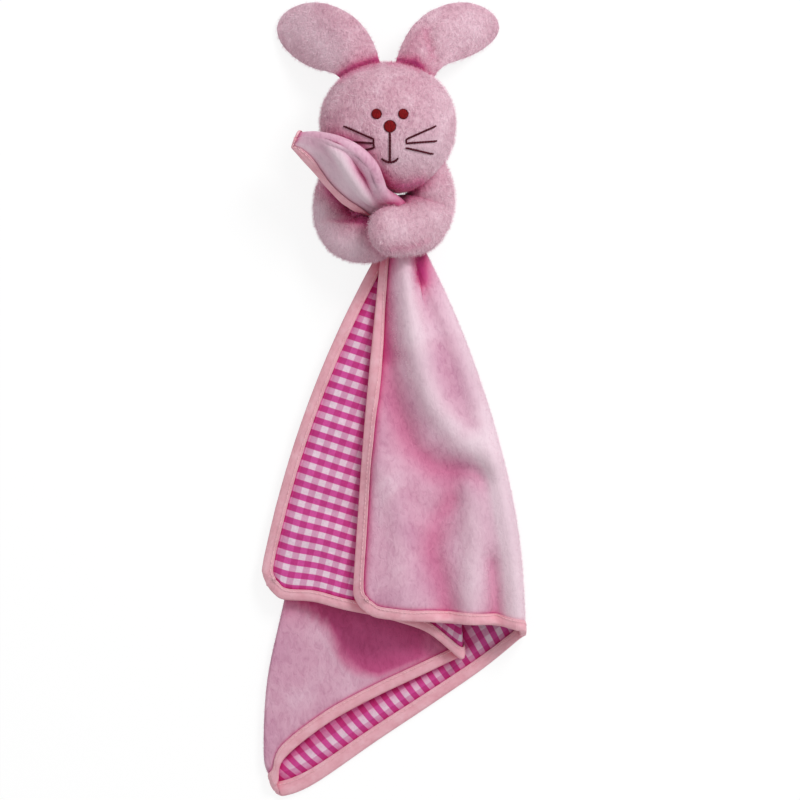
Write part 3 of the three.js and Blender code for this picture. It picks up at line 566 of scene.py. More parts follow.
def headMesh():
    shape = bmesh.new()
    bmesh.ops.create_icosphere(shape, subdivisions=6, radius=1)
    power = head["squareness"]
    for corner in shape.verts:
        way = corner.co.copy()
        way /= sum(abs(value) ** power for value in way) ** (1 / power)
        point = Vector((way.x * head["width"] / 2, way.y * head["height"] / 2, way.z * head["depth"] / 2))
        out = point.normalized()
        lump = noise.noise(point * 0.045) + noise.noise(point * 0.35) * head["lump"]
        lump -= head["seamDepth"] * math.exp(-(point.z / head["seamWidth"]) ** 2)
        if point.z > 0:
            for x, y, radius in sewnSpots:
                lump -= head["stitchDepth"] * math.exp(-(math.hypot(point.x - x, point.y - y) / (radius + 1.5)) ** 4)
        point += out * (lump - head["pulledIn"])
        # the stuffing fills the chin a little between the arms
        chin = math.exp(-((point.x - head["chinMiddle"]) / head["chinSpread"]) ** 2) * ease(*head["chinFrom"], -point.y)
        point.y -= head["chinDrop"] * chin
        point.z = max(point.z + headCentreZ, head["lowest"])
        corner.co = point * mm
    mesh = bpy.data.meshes.new("head_cover")
    shape.to_mesh(mesh)
    shape.free()
    return mesh


headPad = keepPiece("head_cover", headMesh(), head["finish"], "head", "plush",
                    ("head_front_cover", "head_back_cover", "head_filling"))
headTree = treeOf([headPad])
print("the head is sewn")


# Embroidery: each stitch is a short length of thread that lies on the face

def threadMesh(name, lines, radius):
    curve = bpy.data.curves.new(name, "CURVE")
    curve.dimensions = "3D"
    curve.bevel_depth = radius * mm
    curve.bevel_resolution = 1
    curve.use_fill_caps = True
    for line in lines:
        spline = curve.splines.new("POLY")
        spline.points.add(len(line) - 1)
        for knot, point in zip(spline.points, line):
            knot.co = (point.x * mm, point.y * mm, point.z * mm, 1)
    draft = bpy.data.objects.new(name, curve)
    bpy.context.scene.collection.objects.link(draft)
    mesh = bpy.data.meshes.new_from_object(draft.evaluated_get(bpy.context.evaluated_depsgraph_get()))
    bpy.data.objects.remove(draft)
    bpy.data.curves.remove(curve)
    mesh.materials.clear()
    mesh.name = name
    return mesh


def onFace(x, y, rise):
    hit = headTree.ray_cast(Vector((x, y, head["depth"] * 1.5)) * mm, Vector((0, 0, -1)))[0]
    return Vector((x, y, hit.z / mm + rise))


def satinDisc(x, y, radius, slant):
    along = Vector((math.cos(slant), math.sin(slant)))
    side = Vector((-along.y, along.x))
    lines = []
    count = round(2 * radius / face["satinPitch"])
    for row in range(count + 1):
        away = mix(-radius, radius, row / count) * 0.97
        half = math.sqrt(radius ** 2 - away ** 2)
        line = []
        for step in range(7):
            reach = mix(-half, half, step / 6)
            inside = math.hypot(reach, away) / radius
            point = Vector((x, y)) + along * reach + side * away
            line.append(onFace(point.x, point.y, 0.25 + 0.75 * math.sqrt(max(0, 1 - inside ** 2))))
        lines.append(line)
    return lines


def ropeLine(path, pitch, sway, rise):
    points, length = evenPoints(lambda t: alongPoints(path, t), 60, 120)
    lines = []
    count = max(3, round(length / pitch))
    for step in range(count):
        way = directionOf(points, (step + 0.5) / count)
        side = Vector((-way.y, way.x, 0)) * sway
        start, end = alongPoints(points, (step - 0.3) / count), alongPoints(points, (step + 1.3) / count)
        middle = start.lerp(end, 0.5)
        lines.append([onFace(*(start - side)[:2], rise * 0.4), onFace(*middle[:2], rise),
                      onFace(*(end + side)[:2], rise * 0.4)])
    return lines


def embroider(name, lines, radius, finish, stands=()):
    keepPiece(name + "_stitches", threadMesh(name + "_stitches", lines, radius), finish, "head", "embroidery", stands)


for side, sign in (("left", -1), ("right", 1)):
    x = face["shift"] + sign * face["eyeSpacing"] / 2
    name = "eye_" + side
    embroider(name, satinDisc(x, face["eyeRise"], face["eyeRadius"], 0.5), face["satinThread"], redThread, (name,))
    for rank, inner, outer in face["whiskers"]:
        ends = [Vector((face["shift"] + sign * px, py, 0)) for px, py in (inner, outer)]
        lines = ropeLine(ends, face["ropePitch"], 0.22, 0.75)
        if rank != "lower":
            following = face["whiskers"][1 if rank == "upper" else 2][1]
            join = [ends[0], Vector((face["shift"] + sign * following[0], following[1], 0))]
            if sign < 0 or rank == "upper":
                lines += ropeLine(join, face["ropePitch"], 0.05, 0.5)
        name = "whisker_" + side + "_" + rank
        embroider(name, lines, face["whiskerThread"], maroonThread, (name,))
embroider("nose", satinDisc(face["shift"], -face["noseDrop"], face["noseRadius"], 0.2), face["satinThread"], redThread,
          ("nose",))
mouthBottom = -face["noseDrop"] - face["mouthLength"]
mouthRadius = (face["mouthWidth"] ** 2 / 4 + face["mouthSag"] ** 2) / (2 * face["mouthSag"])
mouthSpread = math.asin(face["mouthWidth"] / 2 / mouthRadius)
smile = [Vector((face["shift"] + mouthRadius * math.sin(a), mouthBottom + mouthRadius * (1 - math.cos(a)), 0))
         for a in [mouthSpread * (step / 6 - 1) for step in range(13)]]
mouthTop = Vector((face["shift"], -face["noseDrop"] - face["noseRadius"], 0))
mouthLines = ropeLine([mouthTop, Vector((face["shift"], mouthBottom, 0))], 1.7, 0.25, 0.8)
mouthLines += ropeLine(smile, face["ropePitch"], 0.25, 0.8)
embroider("mouth", mouthLines, face["mouthThread"], maroonThread, ("mouth",))
# a darker outline round the eyes and the nose
outlines = []
for x, y, radius in sewnSpots:
    ring = [Vector((x + radius * math.cos(a), y + radius * math.sin(a), 0))
            for a in [step * math.pi / 12 for step in range(25)]]
    outlines += ropeLine(ring, 1.3, 0.1, 0.7)
embroider("face_outline", outlines, face["outlineThread"], maroonThread)
print("the face is embroidered")


# Ears

earLook = {"length": 55, "thickness": 12, "rim": 1.35, "root": 16, "finish": plush, "tipFrom": 0.66, "rootTo": 0.03,
           "gathers": ((9, 0.5), (17, 0.25)), "gathersEnd": 0.16, "bendDent": 3.2, "seamDent": 1.6, "swell": 0.8,
           "lump": 0.3, "lowest": 0.02,
           "left": {"sign": -1, "width": 39, "rootWidth": 24, "rise": 21},
           "right": {"sign": 1, "width": 34, "rootWidth": 24, "rise": 27}}
headRoot = head["height"] / 2 * (1 - (2 * earLook["root"] / head["width"]) ** head["squareness"]) ** (
    1 / head["squareness"])


def earMesh(side):
    ear = earLook[side]
    sign = ear["sign"]
    half, rim = earLook["thickness"] / 2, earLook["rim"] * 0.7
    root, reach = earLook["root"], earLook["length"]
    line = bezier(Vector((sign * (root - 1.5), headRoot - 9, headCentreZ)),
                  Vector((sign * (root + reach * 0.1), headRoot + ear["rise"], headCentreZ * 0.75)),
                  Vector((sign * (root + reach * 0.92), headRoot + reach * 0.42, half * 0.35)))

    def place(share, turn):
        t = (1 - math.cos(math.pi * share)) / 2
        middle = line(t)
        way = (line(min(1, t + 0.01)) - line(max(0, t - 0.01))).normalized()
        across = Vector((-way.y, way.x, 0)).normalized()
        up = way.cross(across).normalized()
        if up.z < 0:
            up.negate()
        roundTip = math.sqrt(max(0, 1 - (max(0, t - earLook["tipFrom"]) / (1 - earLook["tipFrom"])) ** 2))
        roundRoot = min(1, math.sqrt(t / earLook["rootTo"]))
        width = mix(ear["rootWidth"] / 2, ear["width"] / 2, ease(0, 0.6, t)) * roundTip * roundRoot
        f = math.cos(turn)
        fill = math.sin(math.pi * (0.14 + 0.76 * t)) * (1 - f * f) ** 0.8
        thick = mix(rim, half, fill) * roundTip ** 0.5 * roundRoot
        rise = math.copysign(abs(math.sin(turn)) ** 0.7, math.sin(turn)) * thick
        point = middle + across * (width * f) + up * rise
        if rise > 0:
            # gathers that run out of the seam, and the dent where the fuller ear bends over
            (wide, wideDepth), (fine, fineDepth) = earLook["gathers"]
            gathers = math.sin(f * wide + sign) * wideDepth + math.sin(f * fine) * fineDepth
            point += up * gathers * math.exp(-t / earLook["gathersEnd"]) * roundRoot * (1 - f * f)
            if side == "right":
                dent = math.exp(-((t - 0.36 - 0.12 * f) / 0.07) ** 2) * ease(-1, -0.1, -f)
                point -= up * earLook["bendDent"] * dent * (1 - f * f)
            else:
                dent = math.exp(-((f + 0.35) / 0.35) ** 2) * math.exp(-((t - 0.12) / 0.14) ** 2)
                point -= up * earLook["seamDent"] * dent
        point += up * noise.noise(point * 0.09) * earLook["swell"] * (1 - f * f) * roundTip
        point += (across * f + up * math.sin(turn)) * noise.noise(point * 0.4) * earLook["lump"] * roundTip
        point.z = max(point.z, earLook["lowest"])
        return point
    return padMesh("ear_" + side + "_cover", 72, 72, place)


earPads = {}
for side in ("left", "right"):
    names = tuple("ear_" + side + "_" + part for part in ("front", "back", "filling"))
    pad = keepPiece("ear_" + side + "_cover", earMesh(side), earLook["finish"], "ear_" + side, "plush", names)
    earPads[side] = pad
print("the ears are sewn")


# Blanket: the control points follow the folded sheet, and a finer net is drawn through them

cloth = {"side": 300, "cornerRadius": 16, "poke": 77, "gather": 16.5, "gap": 0.3, "velour": 1.2, "lining": 0.4,
         "tape": 0.5, "tapeWidth": 7, "ring": (7.2, -59.4), "fineness": 6, "frontSlack": 1.2}
ringCentre = Vector((*cloth["ring"], 0))
velourFace = cloth["gap"] / 2 + cloth["velour"]
liningFace = cloth["gap"] / 2 + cloth["lining"]
tapeOnVelour = velourFace + cloth["gap"] + cloth["tape"]
tapeOnLining = liningFace + cloth["gap"] + cloth["tape"]
edgeSlack = cloth["gap"] + cloth["tape"]
band = cloth["tapeWidth"] - edgeSlack
levelBack = tapeOnVelour
levelMiddle = levelBack + 2 * (tapeOnLining + cloth["gap"])
levelFlap = levelMiddle + 2 * (tapeOnVelour + cloth["gap"])
levelFront = levelFlap + 2 * tapeOnLining + cloth["frontSlack"]
levels = (levelFront, levelBack, levelMiddle, levelFlap)

diagonal = cloth["side"] * math.sqrt(2)
flatFront = Vector((diagonal / 2, cloth["poke"] - diagonal / 2, 0))
flatTail = Vector((0, cloth["poke"] - diagonal, 0))
flatBack = Vector((-diagonal / 2, cloth["poke"] - diagonal / 2, 0))
flatCorner = Vector((0, cloth["poke"], 0))
# each edge: the point of the hem that it runs to, how far that lies, the way there and how it bows
layout = (
    (flatFront, 0.932, -6.8, -37, -3.5, 0.5),
    (flatFront.lerp(flatTail, 0.375), 1.028, 17.5, 46, 25, 0.5),
    (flatTail, 1.004, -12.2, -35, -16, 0.7),
    (flatBack.lerp(flatTail, 0.43), 1.019, 8.3, 43, 6, 0.5),
    (flatBack, 0.934, -21.1, -39, -19, 0.5),
)


def polar(radius, degrees):
    turn = math.radians(degrees)
    return Vector((ringCentre.x + radius * math.sin(turn), ringCentre.y - radius * math.cos(turn), 0))


# the second fold runs down the left side and turns in at the tail
tailFold = ((-35, -180), (-60, -282), (-65, -303), (-69.5, -324.5), (-73.4, -352), (-73.9, -372), (-71.7, -384),
            (-67.2, -397.5))
edgeLines, edgeLengths = [], []
for hem, reach, angle, start, bow, bowAt in layout:
    fromPoint = polar(cloth["gather"] + cloth["gap"], start)
    toPoint = polar(hem.length * reach, angle)
    way = (toPoint - fromPoint).normalized()
    bend = fromPoint.lerp(toPoint, bowAt) + Vector((-way.y, way.x, 0)) * bow
    if hem == flatTail:
        points, length = evenPoints(smoothLine([fromPoint, *(Vector((x, y, 0)) for x, y in tailFold)]), 120)
    else:
        points, length = evenPoints(bezier(fromPoint, bend, toPoint), 120)
    edgeLines.append(points)
    edgeLengths.append(length)


def sheetColumns(counts):
    columns = []
    for layer in range(4):
        base = {"layer": layer}
        if layer == 0:
            columns += [{**base, "edge": 0}, {**base, "edge": band}, {**base, "edge": cloth["cornerRadius"]}]
        columns += [{**base, "share": step / (counts[layer] + 1)} for step in range(1, counts[layer] + 1)]
        if layer == 3:
            columns += [{**base, "edge": -cloth["cornerRadius"]}, {**base, "edge": -band}, {**base, "edge": -1e-9}]
        else:
            columns += [{**base, "fold": layer + 1, "turn": step / 3 * math.pi} for step in range(4)]
    return columns


hangingColumns = sheetColumns((5, 4, 4, 5))


def placeColumn(column, at, outward):
    layer = column["layer"]

    def inset(edge):
        return 0 if edge in (0, 4) else abs(levels[edge] - levels[edge - 1]) / 2

    def nearEdge(distance):
        return min(0.5, distance / (end - start).length)
    start = at[layer] - outward[layer] * inset(layer)
    end = at[layer + 1] - outward[layer + 1] * inset(layer + 1)
    if "fold" in column:
        fold, radius = column["fold"], inset(column["fold"])
        point = at[fold] + outward[fold] * (radius * math.sin(column["turn"]) - radius)
        return point, mix(levels[layer], levels[layer + 1], (1 - math.cos(column["turn"])) / 2)
    if "edge" in column:
        inward = nearEdge(abs(column["edge"]))
        return start.lerp(end, inward if column["edge"] >= 0 else 1 - inward), levels[layer]
    first = nearEdge(cloth["cornerRadius"]) if layer == 0 else 0
    last = 1 - nearEdge(cloth["cornerRadius"]) if layer == 3 else 1
    return start.lerp(end, mix(first, last, column["share"])), levels[layer]


def ontoArc(point, radius):
    away = Vector((point.x - ringCentre.x, point.y - ringCentre.y, 0)).normalized() * radius + ringCentre
    return Vector((away.x, away.y, point.z))


def hangingRows():
    slant = (1, 1.02, 1.3, 1.04, 1)
    inner = 7
    rows = [[step / inner * (1 - cloth["cornerRadius"] * slant[k] / edgeLengths[k]) for k in range(5)]
            for step in range(inner + 1)]
    rows.append([1 - band * slant[k] / edgeLengths[k] for k in range(5)])
    rows.append([1] * 5)
    return rows


# Where a row of the hanging part lies on the flat square: the ring holds the cloth on an arc round its corner
ringArc = cloth["poke"] + cloth["gather"]


def flatRow(shares):
    hems = [flatFront, layout[1][0], flatTail, layout[3][0], flatBack]
    return [(flatCorner + (hem - flatCorner).normalized() * ringArc).lerp(hem, share)
            for hem, share in zip(hems, shares)]


def onFlatRow(row, marks):
    # each layer takes its own stretch of the flat row, from the middle of one fold to the middle of the next
    lengths = [0]
    for before, after in zip(row, row[1:]):
        lengths.append(lengths[-1] + (after - before).length)
    knots = [0]
    for fold in (1, 2, 3):
        first = next(j for j, column in enumerate(hangingColumns) if column.get("fold") == fold)
        knots.append((lengths[first + 1] + lengths[first + 2]) / 2)
    knots.append(lengths[-1])
    result = []
    for length in lengths:
        layer = next((k for k in range(4) if length <= knots[k + 1]), 3)
        result.append(marks[layer].lerp(marks[layer + 1], (length - knots[layer]) / (knots[layer + 1] - knots[layer])))
    return result


# the tape's lower edge along the hem of the front layer and of the flap
frontHem = ((-10.4, -293.6), (4.8, -296.6), (32.4, -298.1), (51.5, -299.3), (73, -300), (84.5, -301))
flapHem = ((-49.5, -284.4), (-25.2, -290.7), (-10.8, -293.4), (11.4, -299), (32.4, -307.8), (43.7, -313.4))
# the hem near the tail: the back layer, the fold and the middle layer, each from left to right in the net
tailHem = (("fold", 1, ((78.5, -302), (80.5, -303.5), (80.5, -305.5), (78.5, -307.5))),
           ("layer", 1, ((57, -325), (26, -346.5), (-7, -368.5), (-44, -394))),
           ("fold", 2, ((-62, -401.5), (-66.4, -399), (-67.6, -396), (-66.6, -393))),
           ("layer", 2, ((-63, -379.5), (-38, -359), (-9.5, -343), (20, -329))))
# how far each row above the hem follows it
hemFollows = (1, 0.94, 0.7, 0.25)


def hangingControl():
    grid = []
    for shares in hangingRows():
        at = [alongPoints(edgeLines[k], shares[k]) for k in range(5)]
        outward = []
        for k in range(5):
            way = directionOf(edgeLines[k], shares[k])
            turn = 1 if k % 2 else -1
            outward.append(Vector((-way.y * turn, way.x * turn, 0)))
        row = []
        for column in hangingColumns:
            point, level = placeColumn(column, at, outward)
            row.append(Vector((point.x, point.y, level)))
        grid.append(row)
    grid[0] = [ontoArc(point, cloth["gather"] + cloth["gap"]) for point in grid[0]]
    last, end = len(grid) - 1, len(hangingColumns) - 1

    # the hem on either side of the second fold rounds the tail corner
    at = {}
    for key, value, places in tailHem:
        first = next(j for j, column in enumerate(hangingColumns)
                     if column.get(key) == value and (key == "fold" or "share" in column))
        for j, (x, y) in enumerate(places, first):
            at[j] = Vector((x, y, grid[last][j].z))
    for j, column in enumerate(hangingColumns):
        if "share" in column and column["layer"] in (0, 3):
            point = grid[last][j]
            hem = flapHem if column["layer"] else frontHem
            at[j] = Vector((point.x, alongStops(hem, point.x) + edgeSlack, point.z))
    for j, target in at.items():
        shift = target - grid[last][j]
        for above, share in enumerate(hemFollows):
            grid[last - above][j] = grid[last - above][j] + shift * share

    # round corners where an open edge meets the hem
    for j, step in ((0, 1), (end, -1)):
        corner = grid[last][j].copy()
        up = (grid[last - 2][j] - corner).normalized()
        across = (grid[last][j + 2 * step] - corner).normalized()
        centre = corner + (up + across) * cloth["cornerRadius"]

        def onRound(radius, degrees):
            turn = math.radians(degrees)
            return centre - across * (radius * math.cos(turn)) - up * (radius * math.sin(turn))
        grid[last - 1][j] = onRound(cloth["cornerRadius"], 22.5)
        grid[last][j] = onRound(cloth["cornerRadius"], 45)
        grid[last][j + step] = onRound(cloth["cornerRadius"], 67.5)
        grid[last - 1][j + step] = onRound(cloth["cornerRadius"] - band, 45)
    flats = [onFlatRow(row, flatRow(shares)) for row, shares in zip(grid, hangingRows())]
    return grid, flats


def refine(grid, fineness):
    # a finer net through the control points, smooth both ways
    def through(line):
        line = [line[0] * 2 - line[1], *line, line[-1] * 2 - line[-2]]
        result = []
        for index in range(len(line) - 3):
            a, b, c, d = line[index:index + 4]
            for step in range(fineness):
                t = step / fineness
                result.append(b + (c - a) * (0.5 * t) + (a * 2 - b * 5 + c * 4 - d) * (0.5 * t * t)
                              + (b * 3 - a - c * 3 + d) * (0.5 * t ** 3))
        result.append(line[-2])
        return result
    rows = [through(row) for row in grid]
    columns = [through([row[j] for row in rows]) for j in range(len(rows[0]))]
    return [[column[i] for column in columns] for i in range(len(columns[0]))]


# Folds and hollows of the front layer: a path down it, its height, its half width to the left and to the right, and its
# painted shading, a painted highlight above 0 and painted shade below 0. A value that changes on the way down has where
# it does so
folds = (
    (((10, -68), (10.6, -79), (11.6, -100), (14.8, -121), (21.3, -149), (27, -167), (43, -188), (62, -199)),
     (8.5, 5, -150, -196), 8.5, (3.2, 8.5, -94, -126), 1.0),
    (((18, -62), (18, -80), (18.6, -91)), -7.5, 4, 7.5, -2.0),
    (((31, -66), (40, -100), (54, -142)), 4, 6, 9, 0.5),
    (((-6, -106), (-4, -130), (3, -165), (14, -192), (28, -204), (54, -210)), -5.5, 9, 8, -0.65),
    (((2, -74), (2, -104), (0, -136)), -1, 8, 8, -0.7),
    (((44, -104), (64, -180), (79, -250), (84, -300)), 0.5, 11, 14, 1.2),
    (((-7, -84), (-11, -130), (-14, -190)), 1.5, 4, 5, 0.2),
    (((-3, -206), (8, -240), (12, -285)), 3.5, 9, 8, 0.3),
    (((40, -224), (30, -236), (26, -254), (36, -290)), -5.5, 8, 8, -0.55),
    (((28, -150), (32, -200), (20, -250)), 0, 26, 26, -0.2),
    (((50, -216), (52, -250), (48, -295)), 5, 8, 9, 0.6),
    (((62, -262), (65, -292)), -4, 5, 5, -0.35),
    (((68, -205), (77, -262), (78, -296)), 3, 8, 9, 0.95),
)
frontRise = {"base": 5.5, "hemRipple": 0.9, "flapRipple": 0.5, "swell": 0.5, "edgeFade": 9, "flapFade": (4, 34)}
# the hem of the flap and of the front layer arches over the layer beneath it
arch = {"height": 9, "middle": -4, "spread": 42, "from": -222, "to": -292}
# under that hem, a painted shadow on the layer beneath
paintedShadow = {"outline": ((-57, -276), (-56, -284), (-36, -301), (-29, -319), (-20, -328), (-5, -331), (17, -322),
                       (46, -314), (62, -300), (40, -276), (-57, -276)), "soft": 3, "paintedShading": -1.25}


# How far a point lies from a path, and on which side of it: positive to the right of a path that runs down
def distanceTo(x, y, path):
    nearest, side = 1e9, 1
    for (ax, ay), (bx, by) in zip(path, path[1:]):
        dx, dy = bx - ax, by - ay
        t = min(1, max(0, ((x - ax) * dx + (y - ay) * dy) / (dx * dx + dy * dy)))
        away = math.hypot(x - ax - dx * t, y - ay - dy * t)
        if away < nearest:
            nearest, side = away, dx * (y - ay) - dy * (x - ax)
    return nearest, side


# How far a point lies inside a closed outline
def depthInside(x, y, outline):
    inside = False
    for (ax, ay), (bx, by) in zip(outline, outline[1:]):
        if (ay > y) != (by > y) and x < mix(ax, bx, (y - ay) / (by - ay)):
            inside = not inside
    away = distanceTo(x, y, outline)[0]
    return away if inside else -away


def foldRiseAndShading(x, y):
    rise, paintedShading = 0, 0
    for path, height, left, right, paintedLevel in folds:
        away, side = distanceTo(x, y, path)
        height, right = (mix(value[0], value[1], ease(-value[2], -value[3], -y)) if isinstance(value, tuple) else value
                         for value in (height, right))
        near = math.exp(-(away / (right if side > 0 else left)) ** 2)
        rise += height * near
        # painted shading: lighter on the crests, darker in the hollows
        paintedShading += paintedLevel * near
    return rise, paintedShading


def foldLift(x, y):
    ripple = frontRise["hemRipple"] * math.sin(x * 0.24 + 0.8) * ease(-235, -295, y)
    lift = frontRise["base"] + foldRiseAndShading(x, y)[0] + ripple
    return (lift + math.hypot(lift, 0.8)) / 2


def archLift(x, y):
    return arch["height"] * math.exp(-((x - arch["middle"]) / arch["spread"]) ** 2) * ease(0, 1, (
        arch["from"] - y) / (arch["from"] - arch["to"]))


def columnShares(layer, fold):
    # how much each column belongs to one layer, easing off through the fold beside it
    shares = []
    for column in hangingColumns:
        if column.get("fold") == fold:
            side = 1 if layer < fold else -1
            shares.append((1 + side * math.cos(column["turn"])) / 2)
        else:
            shares.append(1.0 if column["layer"] == layer and "fold" not in column else 0.0)
    return shares


def fineShare(shares, column, fineness):
    index, rest = divmod(column, fineness)
    return shares[index] if not rest else mix(shares[index], shares[index + 1], rest / fineness)


def gridNormals(grid, turn):
    rows, columns = len(grid), len(grid[0])
    result = []
    for i in range(rows):
        line = []
        for j in range(columns):
            down = grid[min(i + 1, rows - 1)][j] - grid[max(i - 1, 0)][j]
            across = grid[i][min(j + 1, columns - 1)] - grid[i][max(j - 1, 0)]
            line.append(down.cross(across).normalized() * turn)
        result.append(line)
    return result


def hangingNet():
    fineness = cloth["fineness"]
    control, flats = hangingControl()
    grid, flats = refine(control, fineness), refine(flats, fineness)
    front, flap = columnShares(0, 1), columnShares(3, 3)
    frontEdge = [(point.x, point.y) for point in edgeLines[0][::10]]
    foldEdge = edgeLines[2]
    for row in grid:
        for j, point in enumerate(row):
            inFront = fineShare(front, j, fineness)
            inFlap = fineShare(flap, j, fineness)
            if inFront > 0:
                lift = foldLift(point.x, point.y)
                if j < 10 * fineness:
                    lift *= ease(0, frontRise["edgeFade"], distanceTo(point.x, point.y, frontEdge)[0])
                lift += frontRise["swell"] * (1 + noise.noise(Vector((point.x * 0.03, point.y * 0.02, 3))))
                lift += archLift(point.x, point.y)
                point.z += lift * inFront
            if inFlap > 0:
                near = min(foldEdge, key=lambda edge: abs(edge.y - point.y))
                point.z = mix(point.z, levelBack, ease(*frontRise["flapFade"], near.x - point.x) * inFlap)
                ripple = frontRise["flapRipple"] * math.sin(point.y * 0.19 + point.x * 0.05)
                point.z += (archLift(point.x, point.y) + ripple) * inFlap
    beneath = columnShares(2, 2)
    # painted highlight on the fold crests and painted shade in the hollows of the front layer, and the painted shadow
    # under the hem on the middle layer
    paintedLightGrid = []
    for row in grid:
        line = []
        for j, point in enumerate(row):
            paintedShading = foldRiseAndShading(point.x, point.y)[1] * fineShare(front, j, fineness)
            low = ease(-paintedShadow["soft"], paintedShadow["soft"], depthInside(point.x, point.y, paintedShadow["outline"]))
            paintedShading += paintedShadow["paintedShading"] * low * fineShare(beneath, j, fineness)
            line.append(paintedShading)
        paintedLightGrid.append(line)
    return grid, flats, paintedLightGrid


flatTurn = Matrix.Rotation(math.radians(45), 3, "Z")  # the flat map runs along the square's sides


def sampleNet(net, i, j):
    rows, columns = len(net), len(net[0])
    i, j = max(0, min(rows - 1, i)), max(0, min(columns - 1, j))
    i0, j0 = min(rows - 2, int(i)), min(columns - 2, int(j))
    top = net[i0][j0].lerp(net[i0][j0 + 1], j - j0)
    low = net[i0 + 1][j0].lerp(net[i0 + 1][j0 + 1], j - j0)
    return top.lerp(low, i - i0)


# The rim of a sheet as pairs of places in its net: on the edge, and where the tape ends inside it
def rimPlaces(net, endShare):
    wide = cloth["fineness"]
    last, end = len(net) - 1, len(net[0]) - 1
    places = [((i, 0), (min(i, last - wide), wide)) for i in range(last)]
    places += [((last, j), (last - wide * endShare, min(max(j, wide), end - wide))) for j in range(end + 1)]
    places += [((i, end), (min(i, last - wide), end - wide)) for i in range(last - 1, -1, -1)]
    return places


# The tape across one side of the cloth, from its inner edge to the rim: a narrow ridge, the sewn groove, the crown
tapeProfile = ((1, -0.3), (0.95, 0.12), (0.88, 0.2), (0.81, -0.3), (0.74, 0.12), (0.55, 0.42), (0.32, 0.42),
               (0.1, 0.15))
tapeMiddle = cloth["tape"] / 2
stitchLook = {"pitch": 2.7, "radius": 0.24, "rise": 0.3, "sink": 0.22}


def tapeRows(net, normals, endShare):
    places = rimPlaces(net, endShare)
    rims = [sampleNet(net, *outer) for outer, _ in places]
    rows, travelled = [], 0
    upper, lower = tapeOnVelour - tapeMiddle, -(tapeOnLining - tapeMiddle)
    for index, (outer, inner) in enumerate(places):
        before, after = rims[max(0, index - 1)], rims[min(len(rims) - 1, index + 1)]
        travelled += (rims[index] - rims[max(0, index - 1)]).length
        normal = sampleNet(normals, *outer).normalized()
        out = (after - before).cross(normal).normalized()
        if out.dot(rims[index] - sampleNet(net, *inner)) < 0:
            out.negate()
        line = []

        def across(share, rise, crown):
            i, j = mix(outer[0], inner[0], share), mix(outer[1], inner[1], share)
            return sampleNet(net, i, j) + sampleNet(normals, i, j).normalized() * (rise + math.copysign(crown, rise))
        for share, crown in tapeProfile:
            line.append(across(share, upper, crown))
        for turn in (75, 40, 0, -40, -75):
            a = math.radians(turn)
            line.append(rims[index] + out * (edgeSlack - tapeMiddle) * math.cos(a)
                        + normal * mix(lower, upper, (1 + math.sin(a)) / 2))
        for share, crown in reversed(tapeProfile):
            line.append(across(share, lower, crown))
        rows.append((travelled, line))
    return rows


def sewTape(name, net, normals, body, stands, endShare):
    rows = tapeRows(net, normals, endShare)
    points = [line for _, line in rows]
    flats = []
    for travelled, line in rows:
        away, row = 0, []
        for before, point in zip([line[0], *line], line):
            away += (point - before).length
            row.append(Vector((travelled, away, 0)) * mm)
        flats.append(row)
    outward = gridNormals(points, 1)
    middle = len(points) // 2
    if outward[middle][0].dot(sampleNet(normals, *rimPlaces(net, endShare)[middle][1])) < 0:
        outward = gridNormals(points, -1)
    piece = keepPiece(name, sheetMesh(name, points, flats, outward), binding, body, "binding", stands)
    thicken(piece, cloth["tape"])
    # stitches along the tape's inner edge, on both sides of the cloth
    lines = []
    for column in (3, 2 * len(tapeProfile) + 1):
        path = [row[column] + outward[i][column] * stitchLook["rise"] for i, row in enumerate(points)]
        dense, length = evenPoints(lambda t: alongPoints(path, t), round(len(path) * 1.5), len(path) * 3)
        count = round(length / stitchLook["pitch"])
        for step in range(count):
            start, end = (step + 0.15) / count, (step + 0.85) / count
            index = round((start + end) / 2 * (len(points) - 1))
            sink = outward[min(index, len(points) - 1)][column] * stitchLook["sink"]
            ends = alongPoints(dense, start), alongPoints(dense, end)
            lines.append([ends[0] - sink, ends[0].lerp(ends[1], 0.25), ends[0].lerp(ends[1], 0.75), ends[1] - sink])
    seam = name.replace("tape", "stitches")
    keepPiece(seam, threadMesh(seam, lines, stitchLook["radius"]), sewingThread, body, "binding")
    return piece


def offsetNet(net, normals, distance):
    return [[point + normal * distance for point, normal in zip(row, line)] for row, line in zip(net, normals)]


def flatArea(flats):
    total = 0
    for upper, lower in zip(flats, flats[1:]):
        for a, b, c, d in zip(upper, upper[1:], lower[1:], lower):
            total += ((b - a).cross(c - a).length + (c - a).cross(d - a).length) / 2
    return total


def sewCloth(prefix, net, flats, turn, body, nodes, paintedLightGrid, endShare=1):
    normals = gridNormals(net, turn)
    flatMap = [[flatTurn @ flat * mm for flat in row] for row in flats]
    pieces = []
    for slot, node, finish, thickness, surface, way in (
            ("velour", "_velour", velour, cloth["velour"], velourFace, 1),
            ("gingham", "_lining", gingham, cloth["lining"], liningFace, -1)):
        name = prefix + "_" + slot + "_side"
        points = offsetNet(net, normals, way * (surface + cloth["gap"] / 2) / 2)
        mesh = sheetMesh(name, points, flatMap, [[n * way for n in row] for row in normals],
                         paintedLightGrid if slot == "velour" else None)
        pieces.append(keepPiece(name, mesh, finish, body, slot, (nodes + node,)))
        thicken(pieces[-1], thickness)
    return *pieces, sewTape(prefix + "_tape", net, normals, body, (nodes + "_binding",), endShare)


hanging, hangingFlats, hangingPaintedLight = hangingNet()
hangingPieces = sewCloth("blanket", hanging, hangingFlats, 1, "blanket", "blanket", hangingPaintedLight)
print("the hanging part of the blanket is folded")

